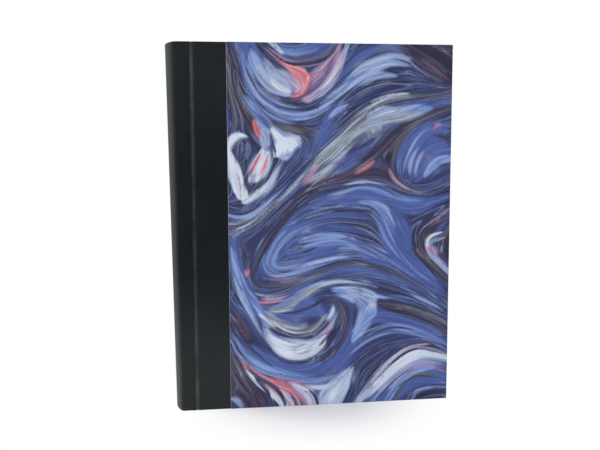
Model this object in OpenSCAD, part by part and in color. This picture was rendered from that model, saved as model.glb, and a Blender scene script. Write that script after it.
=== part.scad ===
// Composition notebook: a hardbound blank book with a rounded black cloth spine and marbled paper sides.
// The book stands on its tail. +Z runs up the book, the front cover faces -Y and the spine faces -X.
// The origin is at the middle of the footprint, on the surface that the book stands on. Millimetres.

/* [Book] */
// Height of the covers
book_h = 248; // [180:1:320]
// Width from the back of the spine to the fore-edge of the covers
book_w = 192; // [150:1:260]
// Thickness over both printed covers
book_t = 20; // [16:0.5:40]

/* [Spine] */
// How far the round back stands out beyond its shoulders
spine_bulge = 4.2; // [3:0.1:7]
// Flat strip of the spine between the turn of the back and the hinge line
shoulder_w = 11.3; // [9:0.1:16]
// Radius of the turn from the round back into that strip
shoulder_r = 4; // [4:0.5:6]
// Width of the pressed groove that each cover hinges in
groove_w = 6; // [4:0.5:8]
// Depth of that groove
groove_d = 1; // [0.5:0.1:1.8]

/* [Covers] */
// Thickness of a cover board
board_t = 2.4; // [2:0.1:3.5]
// How far the covers stand past the pages at head, tail and fore-edge
square_w = 3; // [2:0.5:5]
// Cloth that shows on each cover, from the hinge line to the marbled paper
cloth_w = 22.8; // [15:0.1:50]
// Thickness of the book cloth
cloth_t = 0.4; // [0.2:0.05:0.6]
// Thickness of the marbled paper
paper_t = 0.2; // [0.1:0.05:0.3]
// Thickness of the ink fields on the marbled paper
ink_t = 0.1; // [0.05:0.01:0.2]
// Width of the cloth and paper folded over to the inside of a board
turn_in_w = 15; // [8:1:25]

/* [Pages] */
// How deep the fore-edge of the pages is hollowed by the rounding
fore_edge_hollow = 2.4; // [1:0.1:4]
// Thickness of each endpaper
endpaper_t = 0.15; // [0.1:0.05:0.3]
// Running gap between a closed cover and the flyleaf
cover_gap = 0.1; // [0.05:0.05:0.5]
// Radius of the bead of each head band
band_r = 1; // [0.6:0.1:1.2]

/* [Back layers] */
// Thickness of the card inside the spine
inlay_t = 0.8; // [0.5:0.1:1.2]
// Gap between the spine's turned-in cloth and the lining of the pages
hollow_gap = 0.2; // [0.1:0.1:0.5]
// Thickness of the paper lining glued over the back of the pages
lining_t = 0.4; // [0.2:0.1:0.6]
// Thickness of the gauze glued to the back of the pages
gauze_t = 0.2; // [0.1:0.05:0.3]
// Film of glue between the gauze and the lining
glue_t = 0.05; // [0.02:0.01:0.1]
// How far the gauze stops short of the head and tail of the pages
gauze_inset = 12; // [5:1:20]

/* [Hidden] */
$fn = 96;
eps = 1;  // how far a cutting shape runs past the face that it cuts, or two shapes of one piece overlap

// Places along X
back_x = -book_w / 2;
fore_x = book_w / 2;
turn_x = back_x + spine_bulge;
hinge_x = turn_x + shoulder_w;
spine_edge_x = hinge_x - groove_w / 2;
board_edge_x = hinge_x + groove_w / 2;
paper_x = hinge_x + cloth_w;
sheet_w = fore_x - paper_x;

// Distances from the middle plane of the book, for the faces of a cover
ink_y = book_t / 2;
paper_y = ink_y - ink_t;
cloth_y = paper_y - paper_t;
inner_y = cloth_y - board_t;
pastedown_y = inner_y - endpaper_t;
flyleaf_y = pastedown_y - cover_gap;
pages_y = flyleaf_y - endpaper_t;

// The back is an arc through the shoulders, bulging by spine_bulge
back_r = (cloth_y * cloth_y + spine_bulge * spine_bulge) / (2 * spine_bulge);
back_centre_x = back_x + back_r;

// Centre of the turn that rounds each shoulder off, and where the flat strip starts
shoulder_y = cloth_y - shoulder_r;
shoulder_x = back_centre_x - sqrt(pow(back_r - shoulder_r, 2) - pow(shoulder_y, 2));

// Depth of each layer of the spine below the outside of the cloth
inlay_in = cloth_t;
turn_in_in = inlay_in + inlay_t;
lining_in = turn_in_in + cloth_t + hollow_gap;
gauze_in = lining_in + lining_t + glue_t;
pages_in = gauze_in + gauze_t;

pages_bottom = square_w;
pages_top = book_h - square_w;
pages_x = fore_x - square_w;
hollow_r = (pages_y * pages_y + fore_edge_hollow * fore_edge_hollow) / (2 * fore_edge_hollow);

// A point on the smooth curve through points b and c, t of the way from b to c
function between(a, b, c, d, t) =
    (2 * b + (c - a) * t + (2 * a - 5 * b + 4 * c - d) * t * t + (3 * b - a - 3 * c + d) * t * t * t) / 2;

steps = 3;  // points on each span of a smooth curve
print_w = 153.7;  // width of the printer's sheet that the marbling is drawn on
print_h = 248;  // height of that sheet

// The smooth curve through all the points of a path
function smooth(p) = [
    for (i = [0 : len(p) - 2], s = [0 : steps - 1])
        between(p[max(i - 1, 0)], p[i], p[i + 1], p[min(i + 2, len(p) - 1)], s / steps),
    p[len(p) - 1]
];

// The direction across a curve at its point i
function across(c, i) =
    let (d = c[min(i + 1, len(c) - 1)] - c[max(i - 1, 0)])
    [-d[1], d[0]] / norm(d);

// A streak of ink along a path: full width in its middle and drawn to a point at both ends
module streak(path, width) {
    c = smooth(path);
    last = len(c) - 1;
    half = [for (i = [0 : last]) width / 2 * pow(sin(180 * i / last), 0.6)];
    polygon([
        for (i = [0 : last]) c[i] + across(c, i) * half[i],
        for (i = [last - 1 : -1 : 1]) c[i] - across(c, i) * half[i]
    ]);
}

// A drop of ink that was drawn out to one side
module drop(centre, length, width, angle) {
    reach = [cos(angle), sin(angle)] * length / 2;
    streak([centre - reach, centre, centre + reach], width);
}

// The inks of the marbling. Each is a set of streaks on the printer's sheet, from its bottom left corner
module royal_ink() {
    streak([[-8, 246], [2, 222], [16, 206], [40, 197], [62, 200], [84, 220], [112, 228], [150, 222]], 11);
    streak([[20, 250], [30, 241], [50, 235], [70, 240], [78, 250]], 7);
    streak([[-6, 128], [14, 132], [36, 150], [56, 168], [80, 190], [106, 208]], 9);
    streak([[30, 112], [52, 134], [82, 142], [116, 136], [150, 142]], 20);
    streak([[22, 96], [40, 108], [66, 117], [92, 112], [124, 96], [158, 74]], 16);
    streak([[112, 196], [118, 172], [132, 152], [158, 148]], 10);
    streak([[126, 190], [142, 188], [158, 180]], 9);
    streak([[114, 148], [124, 124], [140, 92], [160, 76]], 12);
    streak([[2, 124], [6, 96], [16, 70], [34, 42], [58, 26], [82, 30], [104, 44], [130, 54], [158, 40]], 11);
    streak([[-4, 70], [8, 44], [28, 26], [56, 16], [84, 16]], 7);
    streak([[34, 72], [48, 66], [60, 68], [72, 78], [84, 68], [88, 50]], 7);
    streak([[104, -4], [118, 10], [136, 14], [156, 2]], 8);
}

module olive_ink() {
    streak([[-4, 236], [5, 222], [8, 206], [20, 192], [28, 180]], 9);
    streak([[48, 152], [64, 158], [82, 168], [104, 176], [128, 192], [158, 210]], 6);
    streak([[70, 184], [94, 204], [120, 210], [158, 214]], 5);
    streak([[110, 184], [112, 164], [122, 150], [142, 146]], 5);
    streak([[14, 100], [18, 90], [32, 85], [52, 93], [76, 101], [104, 97], [132, 84], [158, 66]], 6);
    streak([[-4, 42], [6, 26], [16, 12], [34, 4]], 11);
    streak([[104, 8], [118, 18], [138, 21], [154, 10]], 5);
    streak([[126, 128], [131, 112], [140, 100]], 8);
}

module pale_ink() {
    streak([[8, 232], [20, 212], [42, 203], [62, 207], [84, 226], [104, 236], [120, 235], [134, 226]], 8);
    streak([[18, 252], [24, 232], [44, 222], [64, 225], [76, 238], [82, 252]], 13);
    streak([[58, 160], [76, 176], [96, 194], [120, 202], [150, 200]], 12);
    streak([[122, 186], [120, 172], [128, 156], [140, 152]], 4);
    streak([[134, 178], [138, 166], [150, 158]], 5);
    streak([[68, 154], [86, 157], [104, 152], [124, 146]], 4);
    streak([[40, 106], [54, 115], [72, 120], [94, 116]], 6);
    streak([[20, 66], [34, 62], [46, 52], [64, 52], [72, 68]], 5);
    streak([[76, 84], [92, 80], [112, 74]], 8);
    streak([[82, 80], [93, 72], [90, 60]], 7);
    streak([[52, -4], [60, 8], [74, 13], [84, 20]], 12);
    streak([[96, -4], [112, 16], [128, 27], [158, 20]], 7);
    streak([[2, 116], [5, 92], [14, 70], [28, 50]], 4);
    drop([26, 186], 11, 6, 70);
}

module white_ink() {
    streak([[52, 203], [68, 210], [86, 225], [104, 233], [116, 231]], 3);
    streak([[106, 238], [122, 239], [131, 231], [138, 225]], 2.5);
    streak([[2, 192], [5, 172], [9, 154], [16, 142]], 7);
    streak([[13, 143], [24, 149], [34, 159], [44, 170]], 5);
    streak([[29, 192], [38, 184], [40, 174]], 11);
    drop([21, 167], 22, 11, 60);
    streak([[30, 156], [50, 172], [72, 188], [92, 204], [118, 214]], 2.5);
    streak([[62, 168], [78, 178], [96, 188]], 3);
    streak([[34, 70], [50, 80], [66, 87], [84, 88], [104, 80], [114, 70]], 4.5);
    streak([[25, 50], [36, 37], [52, 35], [68, 50]], 9);
    streak([[70, 54], [74, 62], [71, 70]], 3.5);
    streak([[84, -6], [98, 9], [114, 26], [134, 34], [158, 18]], 6);
    streak([[80, 2], [98, 19], [118, 38], [140, 42], [158, 34]], 2);
    streak([[20, 22], [32, 10], [39, -4]], 6);
    streak([[44, 15], [55, 8], [58, -4]], 4);
    streak([[142, 118], [136, 111], [143, 100], [158, 90]], 2);
    streak([[128, 126], [142, 132], [158, 142]], 2);
}

module coral_ink() {
    streak([[30, 240], [40, 234], [52, 229], [54, 219], [44, 211]], 5);
    streak([[58, 222], [66, 230], [76, 242]], 3);
    streak([[84, 160], [94, 165], [106, 177]], 3);
    streak([[14, 163], [20, 166], [28, 177]], 2);
    streak([[19, 198], [18, 192], [22, 186]], 3);
    streak([[8, 34], [18, 25], [34, 19], [46, 11], [52, -4]], 4);
    drop([13, 96], 8, 3.5, 65);
    drop([141, 108], 6, 3, 40);
    streak([[62, 48], [68, 56], [70, 64]], 1.8);
}

// The sheet of one cover, from its bottom left corner
module sheet() {
    square([sheet_w, book_h]);
}

// One ink on the sheet, cut away where a later ink lies over it
module ink(name) {
    inks = ["royal", "olive", "pale", "white", "coral"];
    place = search([name], inks)[0];
    difference() {
        intersection() {
            sheet();
            streaks(name);
        }
        for (i = [place + 1 : 1 : len(inks) - 1]) streaks(inks[i]);
    }
}

// The streaks of one ink, drawn out with the sheet from the size of the printer's sheet
module streaks(name) {
    scale([sheet_w / print_w, book_h / print_h]) {
        if (name == "royal") royal_ink();
        if (name == "olive") olive_ink();
        if (name == "pale") pale_ink();
        if (name == "white") white_ink();
        if (name == "coral") coral_ink();
    }
}

// Stands a drawing on the sheet up as a thin layer on the front cover
module front_layer() {
    translate([paper_x, -paper_y, 0]) rotate([90, 0, 0]) linear_extrude(ink_t) children();
}

// The back sheet was cut the other way round from the same paper, so its pattern is turned by half a turn
module back_layer() {
    translate([paper_x, ink_y, 0]) rotate([90, 0, 0]) linear_extrude(ink_t)
        translate([sheet_w, book_h]) rotate(180) children();
}

// A box between two corners
module block(low, high) {
    translate(low) cube(high - low);
}

// Plan of the rounded spine, drawn in by a depth and running forward to end_x
module spine_plan(depth, end_x) {
    arc_r = back_r - depth;
    side_y = cloth_y - depth;
    // The arc of the back runs over into the turn of a shoulder at this distance from the middle plane
    meet_y = shoulder_y * arc_r / (back_r - shoulder_r);
    intersection() {
        union() {
            intersection() {
                translate([back_centre_x, 0]) circle(arc_r);
                translate([back_x, -meet_y]) square([arc_r, 2 * meet_y]);
            }
            for (y = [-shoulder_y, shoulder_y]) translate([shoulder_x, y]) circle(shoulder_r - depth);
            translate([shoulder_x, -side_y]) square([hinge_x - shoulder_x, 2 * side_y]);
        }
        translate([back_x - eps, -side_y]) square([end_x - back_x + eps, 2 * side_y]);
    }
}

// A layer of the spine between two depths, from the height low to the height high
module spine_layer(outer, inner, end_x, low, high) {
    translate([0, 0, low]) linear_extrude(high - low) difference() {
        spine_plan(outer, end_x);
        spine_plan(inner, end_x + eps);
    }
}

// The cloth that slopes from the edge at edge_x down to the hinge line, in plan on the front side
module groove_lip(edge_x) {
    flat_x = edge_x + eps * sign(edge_x - hinge_x);
    linear_extrude(book_h) polygon([
        [flat_x, -cloth_y],
        [edge_x, -cloth_y],
        [hinge_x, groove_d - cloth_y],
        [hinge_x, groove_d - cloth_y + cloth_t],
        [edge_x, -cloth_y + cloth_t],
        [flat_x, -cloth_y + cloth_t],
    ]);
}

module both_sides() {
    children();
    mirror([0, 1, 0]) children();
}

// A sheet wrapped round the board from x0 to x1 and folded in at head and tail, and at the fore-edge if asked
module wrapped_sheet(x0, x1, outer, thick, fore) {
    end = fore ? 0 : eps;
    start = x0 - eps;
    difference() {
        block([x0, -outer, 0], [x1, -inner_y, book_h]);
        block([start, thick - outer, thick], [x1 + end - (fore ? thick : 0), -inner_y - thick, book_h - thick]);
        block([start, -inner_y - thick - eps / 2, turn_in_w],
              [x1 + end - (fore ? turn_in_w : 0), eps - inner_y, book_h - turn_in_w]);
    }
}

// The board's stretch under a wrapped sheet, pressed back by the sheet's thickness
module wrapped_board(x0, x1, thick, fore) {
    end = x1 - (fore ? thick : 0);
    rim = fore ? turn_in_w : 0;
    block([x0, -board_face(thick), thick], [end, -inner_y - thick, book_h - thick]);
    block([x0, -inner_y - thick, turn_in_w], [x1 - rim, -inner_y, book_h - turn_in_w]);
}

// The board lies under the cloth or the paper, whichever sheet is the given thickness
function board_face(thick) = (thick == cloth_t) ? cloth_y - cloth_t : cloth_y;

module cover_board() {
    color("gray") {
        wrapped_board(board_edge_x, paper_x, cloth_t, false);
        wrapped_board(paper_x, fore_x, paper_t, true);
    }
}

module cover_cloth() {
    color([0.13, 0.14, 0.15]) {
        groove_lip(board_edge_x);
        wrapped_sheet(board_edge_x, paper_x, cloth_y, cloth_t, false);
    }
}

module cover_paper() {
    color([0.19, 0.21, 0.42]) wrapped_sheet(paper_x, fore_x, paper_y, paper_t, true);
}

module cover_pastedown() {
    color("ivory") block([hinge_x + cover_gap, -inner_y, square_w], [fore_x - square_w, -pastedown_y, book_h - square_w]);
}

module front_board() { cover_board(); }
module front_cloth() { cover_cloth(); }
module front_paper() { cover_paper(); }
module front_pastedown() { cover_pastedown(); }
module back_board() { mirror([0, 1, 0]) cover_board(); }
module back_cloth() { mirror([0, 1, 0]) cover_cloth(); }
module back_paper() { mirror([0, 1, 0]) cover_paper(); }
module back_pastedown() { mirror([0, 1, 0]) cover_pastedown(); }

module front_ink_royal() { color([0.27, 0.37, 0.66]) front_layer() ink("royal"); }
module front_ink_olive() { color([0.33, 0.31, 0.33]) front_layer() ink("olive"); }
module front_ink_pale() { color([0.53, 0.63, 0.84]) front_layer() ink("pale"); }
module front_ink_white() { color([0.82, 0.86, 0.93]) front_layer() ink("white"); }
module front_ink_coral() { color([0.83, 0.38, 0.39]) front_layer() ink("coral"); }
module back_ink_royal() { color([0.27, 0.37, 0.66]) back_layer() ink("royal"); }
module back_ink_olive() { color([0.33, 0.31, 0.33]) back_layer() ink("olive"); }
module back_ink_pale() { color([0.53, 0.63, 0.84]) back_layer() ink("pale"); }
module back_ink_white() { color([0.82, 0.86, 0.93]) back_layer() ink("white"); }
module back_ink_coral() { color([0.83, 0.38, 0.39]) back_layer() ink("coral"); }

// The pages are rounded at the back, backed out to shoulders beside the hinges and hollow at the fore-edge
module pages() {
    color("ivory") translate([0, 0, pages_bottom]) linear_extrude(pages_top - pages_bottom) {
        swollen_y = cloth_y - pages_in;
        swell = swollen_y - pages_y;
        spine_plan(pages_in, spine_edge_x);
        polygon([
            [spine_edge_x, -swollen_y],
            [spine_edge_x + swell, -pages_y],
            [spine_edge_x + swell, pages_y],
            [spine_edge_x, swollen_y],
        ]);
        difference() {
            translate([spine_edge_x + swell, -pages_y]) square([pages_x - spine_edge_x - swell, 2 * pages_y]);
            translate([pages_x - fore_edge_hollow + hollow_r, 0]) circle(hollow_r);
        }
    }
}

// The free half of each endpaper lies on the pages and starts at the hinge line
module flyleaf() {
    color("ivory") block([hinge_x, -flyleaf_y, pages_bottom], [pages_x, -pages_y, pages_top]);
}

module front_flyleaf() { flyleaf(); }
module back_flyleaf() { mirror([0, 1, 0]) flyleaf(); }

module gauze() {
    color("whitesmoke")
        spine_layer(gauze_in, pages_in, spine_edge_x, pages_bottom + gauze_inset, pages_top - gauze_inset);
}

module spine_lining() {
    color("tan") spine_layer(lining_in, lining_in + lining_t, shoulder_x, pages_bottom, pages_top);
}

// A beaded band over the back edge of the pages, as seen at the head
module band() {
    seat_r = back_r - pages_in - band_r / 2;
    reach = asin((pages_y - band_r) / seat_r);
    rotate(180 - reach) rotate_extrude(angle = 2 * reach) translate([seat_r, 0]) intersection() {
        circle(band_r, $fn = 24);
        translate([-band_r, 0]) square([2 * band_r, band_r]);
    }
}

module head_band() {
    color("midnightblue") translate([back_centre_x, 0, pages_top]) band();
}

module tail_band() {
    color("midnightblue") translate([back_centre_x, 0, pages_bottom]) mirror([0, 0, 1]) band();
}

module spine_inlay() {
    color("gray") spine_layer(inlay_in, turn_in_in, spine_edge_x, cloth_t, book_h - cloth_t);
}

// The cloth of the spine, down into both grooves and folded in over the inlay at head and tail
module spine_cloth() {
    color([0.13, 0.14, 0.15]) {
        spine_layer(0, inlay_in, spine_edge_x, 0, book_h);
        for (low = [0, book_h - cloth_t]) spine_layer(inlay_in, turn_in_in, spine_edge_x, low, low + cloth_t);
        for (low = [0, book_h - turn_in_w])
            spine_layer(turn_in_in, turn_in_in + cloth_t, spine_edge_x, low, low + turn_in_w);
        both_sides() groove_lip(spine_edge_x);
    }
}

pages();
front_flyleaf();
back_flyleaf();
gauze();
spine_lining();
head_band();
tail_band();
spine_inlay();
spine_cloth();
front_board();
front_cloth();
front_paper();
front_pastedown();
front_ink_royal();
front_ink_olive();
front_ink_pale();
front_ink_white();
front_ink_coral();
back_board();
back_cloth();
back_paper();
back_pastedown();
back_ink_royal();
back_ink_olive();
back_ink_pale();
back_ink_white();
back_ink_coral();
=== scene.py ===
"""Looks of the composition notebook: marbled paper sides, black cloth back, pages, endpapers and headbands.

The book keeps the frame of its solid model: it stands on its tail, +Z runs up the book, the front
cover faces -Y and the spine faces -X. Sizes in this script are in millimetres until a mesh is made.
"""

import math

import bpy
import numpy as np
from mathutils import Matrix, Vector


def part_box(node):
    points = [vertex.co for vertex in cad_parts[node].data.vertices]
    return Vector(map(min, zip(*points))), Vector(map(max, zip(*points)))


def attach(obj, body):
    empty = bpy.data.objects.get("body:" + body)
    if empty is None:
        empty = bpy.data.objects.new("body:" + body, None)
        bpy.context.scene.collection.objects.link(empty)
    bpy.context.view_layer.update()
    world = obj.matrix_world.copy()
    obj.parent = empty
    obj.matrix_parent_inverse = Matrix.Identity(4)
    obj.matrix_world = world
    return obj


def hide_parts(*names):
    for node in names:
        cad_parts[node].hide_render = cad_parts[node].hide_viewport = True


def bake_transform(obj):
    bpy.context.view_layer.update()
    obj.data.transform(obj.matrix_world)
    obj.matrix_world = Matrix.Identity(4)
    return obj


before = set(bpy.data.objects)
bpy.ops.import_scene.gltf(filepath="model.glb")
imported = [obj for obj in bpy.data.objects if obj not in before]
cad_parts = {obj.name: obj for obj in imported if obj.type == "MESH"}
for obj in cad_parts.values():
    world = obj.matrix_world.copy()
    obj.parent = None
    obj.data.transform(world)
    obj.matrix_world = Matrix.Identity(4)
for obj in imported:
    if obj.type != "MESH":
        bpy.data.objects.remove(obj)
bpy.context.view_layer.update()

MM = 0.001
chance = np.random.default_rng(11)


def box_mm(node):
    """The lowest and the highest corner of a solid, in millimetres."""
    low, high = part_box(node)
    return np.array(low) / MM, np.array(high) / MM


# Sizes that the solid model gives
paper_low, paper_high = box_mm("front_paper")
cloth_low, cloth_high = box_mm("front_cloth")
pages_low, pages_high = box_mm("pages")
flyleaf_low, flyleaf_high = box_mm("front_flyleaf")
pastedown_high = box_mm("front_pastedown")[1]
inlay_low, inlay_high = box_mm("spine_inlay")
lining_low, lining_high = box_mm("spine_lining")

BOOK_H = paper_high[2]
BACK_X = box_mm("spine_cloth")[0][0]
FORE_X = paper_high[0]
PAPER_X = paper_low[0]
HINGE_X = cloth_low[0]
SHOULDER_X = lining_high[0]
SPINE_EDGE_X = inlay_high[0]
BOARD_EDGE_X = box_mm("front_board")[0][0]
PRINT_Y = -box_mm("front_ink_royal")[0][1]
CLOTH_Y = -cloth_low[1]
INNER_Y = -cloth_high[1]
CLOTH_T = inlay_low[0] - BACK_X
INLAY_T = lining_low[0] - BACK_X - 2 * CLOTH_T
SHEET_W = FORE_X - PAPER_X
SQUARE = pages_low[2]

# Values that the solid model has too, but that no box shows
TURN_IN = 15.0
SHOULDER_R = 4.0
GROOVE_D = 1.0

# The back is an arc that runs over into a turn of SHOULDER_R at each shoulder
SHOULDER_Y = CLOTH_Y - SHOULDER_R
SHOULDER_REACH = SHOULDER_X - BACK_X
BACK_R = (SHOULDER_REACH ** 2 + SHOULDER_Y ** 2 - SHOULDER_R ** 2) / (2 * (SHOULDER_REACH - SHOULDER_R))
BACK_CENTRE_X = BACK_X + BACK_R


# Meshes

def link(obj):
    """Puts an object in the scene."""
    bpy.context.scene.collection.objects.link(obj)
    return obj


def make_object(name, points, faces, material, flat_angle=40):
    """A mesh object from points in millimetres, smooth apart from turns sharper than flat_angle."""
    mesh = bpy.data.meshes.new(name)
    mesh.from_pydata((np.asarray(points, float) * MM).tolist(), [], faces)
    mesh.update()
    mesh.shade_smooth()
    mesh.set_sharp_from_angle(angle=math.radians(flat_angle))
    mesh.materials.append(material)
    return link(bpy.data.objects.new(name, mesh))


def give_values(obj, name, values):
    """Stores one number per vertex, for a material to read."""
    layer = obj.data.attributes.new(name, "FLOAT", "POINT")
    layer.data.foreach_set("value", np.asarray(values, np.float32))


def give_uv(obj, u, v):
    """Gives each vertex a flat place, in millimetres."""
    layer = obj.data.uv_layers.new(name="UVMap")
    corner = np.zeros(len(obj.data.loops), np.int32)
    obj.data.loops.foreach_get("vertex_index", corner)
    flat = np.stack([np.asarray(u)[corner], np.asarray(v)[corner]], axis=1)
    layer.data.foreach_set("uv", flat.astype(np.float32).ravel())


def quads(rows, columns, start=0, flip=False):
    """The faces of a grid of vertices that are numbered row by row."""
    index = np.arange(rows * columns).reshape(rows, columns) + start
    ring = [index[:-1, :-1], index[:-1, 1:], index[1:, 1:], index[1:, :-1]]
    if flip:
        ring = ring[::-1]
    return np.stack([part.ravel() for part in ring], axis=1).tolist()


def smooth(share):
    """Eases a share from 0 to 1 in and out."""
    return share ** 2 * (3 - 2 * share)


def even(low, high, cell):
    """Places from low to high, about one cell apart."""
    return np.linspace(low, high, max(2, int(round((high - low) / cell)) + 1))


# Material helpers

def linear(red, green, blue):
    """A colour as a screen shows it, from 0 to 255, as the light values that a shader takes."""
    parts = [value / 255 for value in (red, green, blue)]
    parts = [p / 12.92 if p <= 0.04045 else ((p + 0.055) / 1.055) ** 2.4 for p in parts]
    return (*parts, 1.0)


def feed(tree, node, inputs):
    """Gives a node its inputs: a socket is linked and anything else is set."""
    for key, value in inputs.items():
        if isinstance(value, bpy.types.NodeSocket):
            tree.links.new(value, node.inputs[key])
        else:
            node.inputs[key].default_value = value


def add_node(tree, kind, inputs=None, **settings):
    """A new node with its settings and inputs."""
    made = tree.nodes.new(kind)
    for key, value in settings.items():
        setattr(made, key, value)
    feed(tree, made, inputs or {})
    return made


class Shader:
    """A node material that is built up from sockets."""

    def __init__(self, name):
        self.material = bpy.data.materials.new(name)
        self.material.use_nodes = True
        self.tree = self.material.node_tree
        self.surface = self.tree.nodes["Principled BSDF"]

    def node(self, kind, inputs=None, **settings):
        return add_node(self.tree, kind, inputs, **settings)

    def math(self, operation, first, second=0.0, third=0.0):
        inputs = {0: first, 1: second, 2: third}
        return self.node("ShaderNodeMath", inputs, operation=operation).outputs[0]

    def plus(self, first, second):
        return self.math("ADD", first, second)

    def minus(self, first, second):
        return self.math("SUBTRACT", first, second)

    def times(self, first, second):
        return self.math("MULTIPLY", first, second)

    def absolute(self, value):
        return self.math("ABSOLUTE", value)

    def total(self, first, second):
        """The sum of two values, each times its share."""
        return self.plus(self.times(*first), self.times(*second))

    def value(self, name):
        """A number stored on the mesh."""
        return self.node("ShaderNodeAttribute", attribute_name=name).outputs["Fac"]

    def uv(self):
        return self.node("ShaderNodeUVMap", uv_map="UVMap").outputs["UV"]

    def place(self):
        """The place on the object at rest, in millimetres."""
        coordinates = self.node("ShaderNodeTexCoord").outputs["Object"]
        inputs = {0: coordinates, "Scale": 1 / MM}
        return self.node("ShaderNodeVectorMath", inputs, operation="SCALE").outputs[0]

    def stretch(self, vector, x, y, z):
        inputs = {0: vector, 1: (x, y, z)}
        return self.node("ShaderNodeVectorMath", inputs, operation="MULTIPLY").outputs[0]

    def noise(self, vector, scale, detail=2.0, roughness=0.5):
        inputs = {"Vector": vector, "Scale": scale, "Detail": detail, "Roughness": roughness}
        return self.node("ShaderNodeTexNoise", inputs).outputs["Fac"]

    def step(self, value, low, high):
        """Rises smoothly from 0 to 1 as the value goes from low to high."""
        inputs = {"Value": value, "From Min": low, "From Max": high}
        return self.node("ShaderNodeMapRange", inputs, interpolation_type="SMOOTHSTEP").outputs[0]

    def mix(self, share, first, second):
        """The first colour at share 0 and the second at share 1."""
        inputs = {0: share, 6: first, 7: second}
        return self.node("ShaderNodeMix", inputs, data_type="RGBA").outputs[2]

    def ramp(self, share, *stops):
        """A colour that follows stops of (share, colour)."""
        made = self.node("ShaderNodeValToRGB", {"Fac": share})
        elements = made.color_ramp.elements
        while len(elements) < len(stops):
            elements.new(1.0)
        for element, (position, colour) in zip(elements, stops):
            element.position = position
            element.color = colour
        return made.outputs["Color"]

    def layers(self, value, layers):
        """Colours that follow each other as the value rises from 0 to 1, each as wide as its share."""
        total = sum(layer[0] for layer in layers)
        stops = []
        start = 0.0
        for share, red, green, blue in layers:
            stops.append(((start + 0.2 * share) / total, linear(red, green, blue)))
            stops.append(((start + 0.8 * share) / total, linear(red, green, blue)))
            start += share
        colour = self.ramp(value, *stops)
        colour.node.color_ramp.interpolation = "B_SPLINE"
        return colour

    def bump(self, height, distance, strength=1.0):
        inputs = {"Height": height, "Distance": distance * MM, "Strength": strength}
        return self.node("ShaderNodeBump", inputs).outputs["Normal"]

    def finish(self, colour, roughness, normal=None, specular=0.5):
        """Sets the surface and returns the material."""
        inputs = {"Base Color": colour, "Roughness": roughness, "Specular IOR Level": specular}
        if normal is not None:
            inputs["Normal"] = normal
        feed(self.tree, self.surface, inputs)
        return self.material


# The marbling: strokes of ink, placed in millimetres across the sheet from the spine and up from
# the tail. Each has a width and points. A bundle of thin strokes also has their number and their gap

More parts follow.
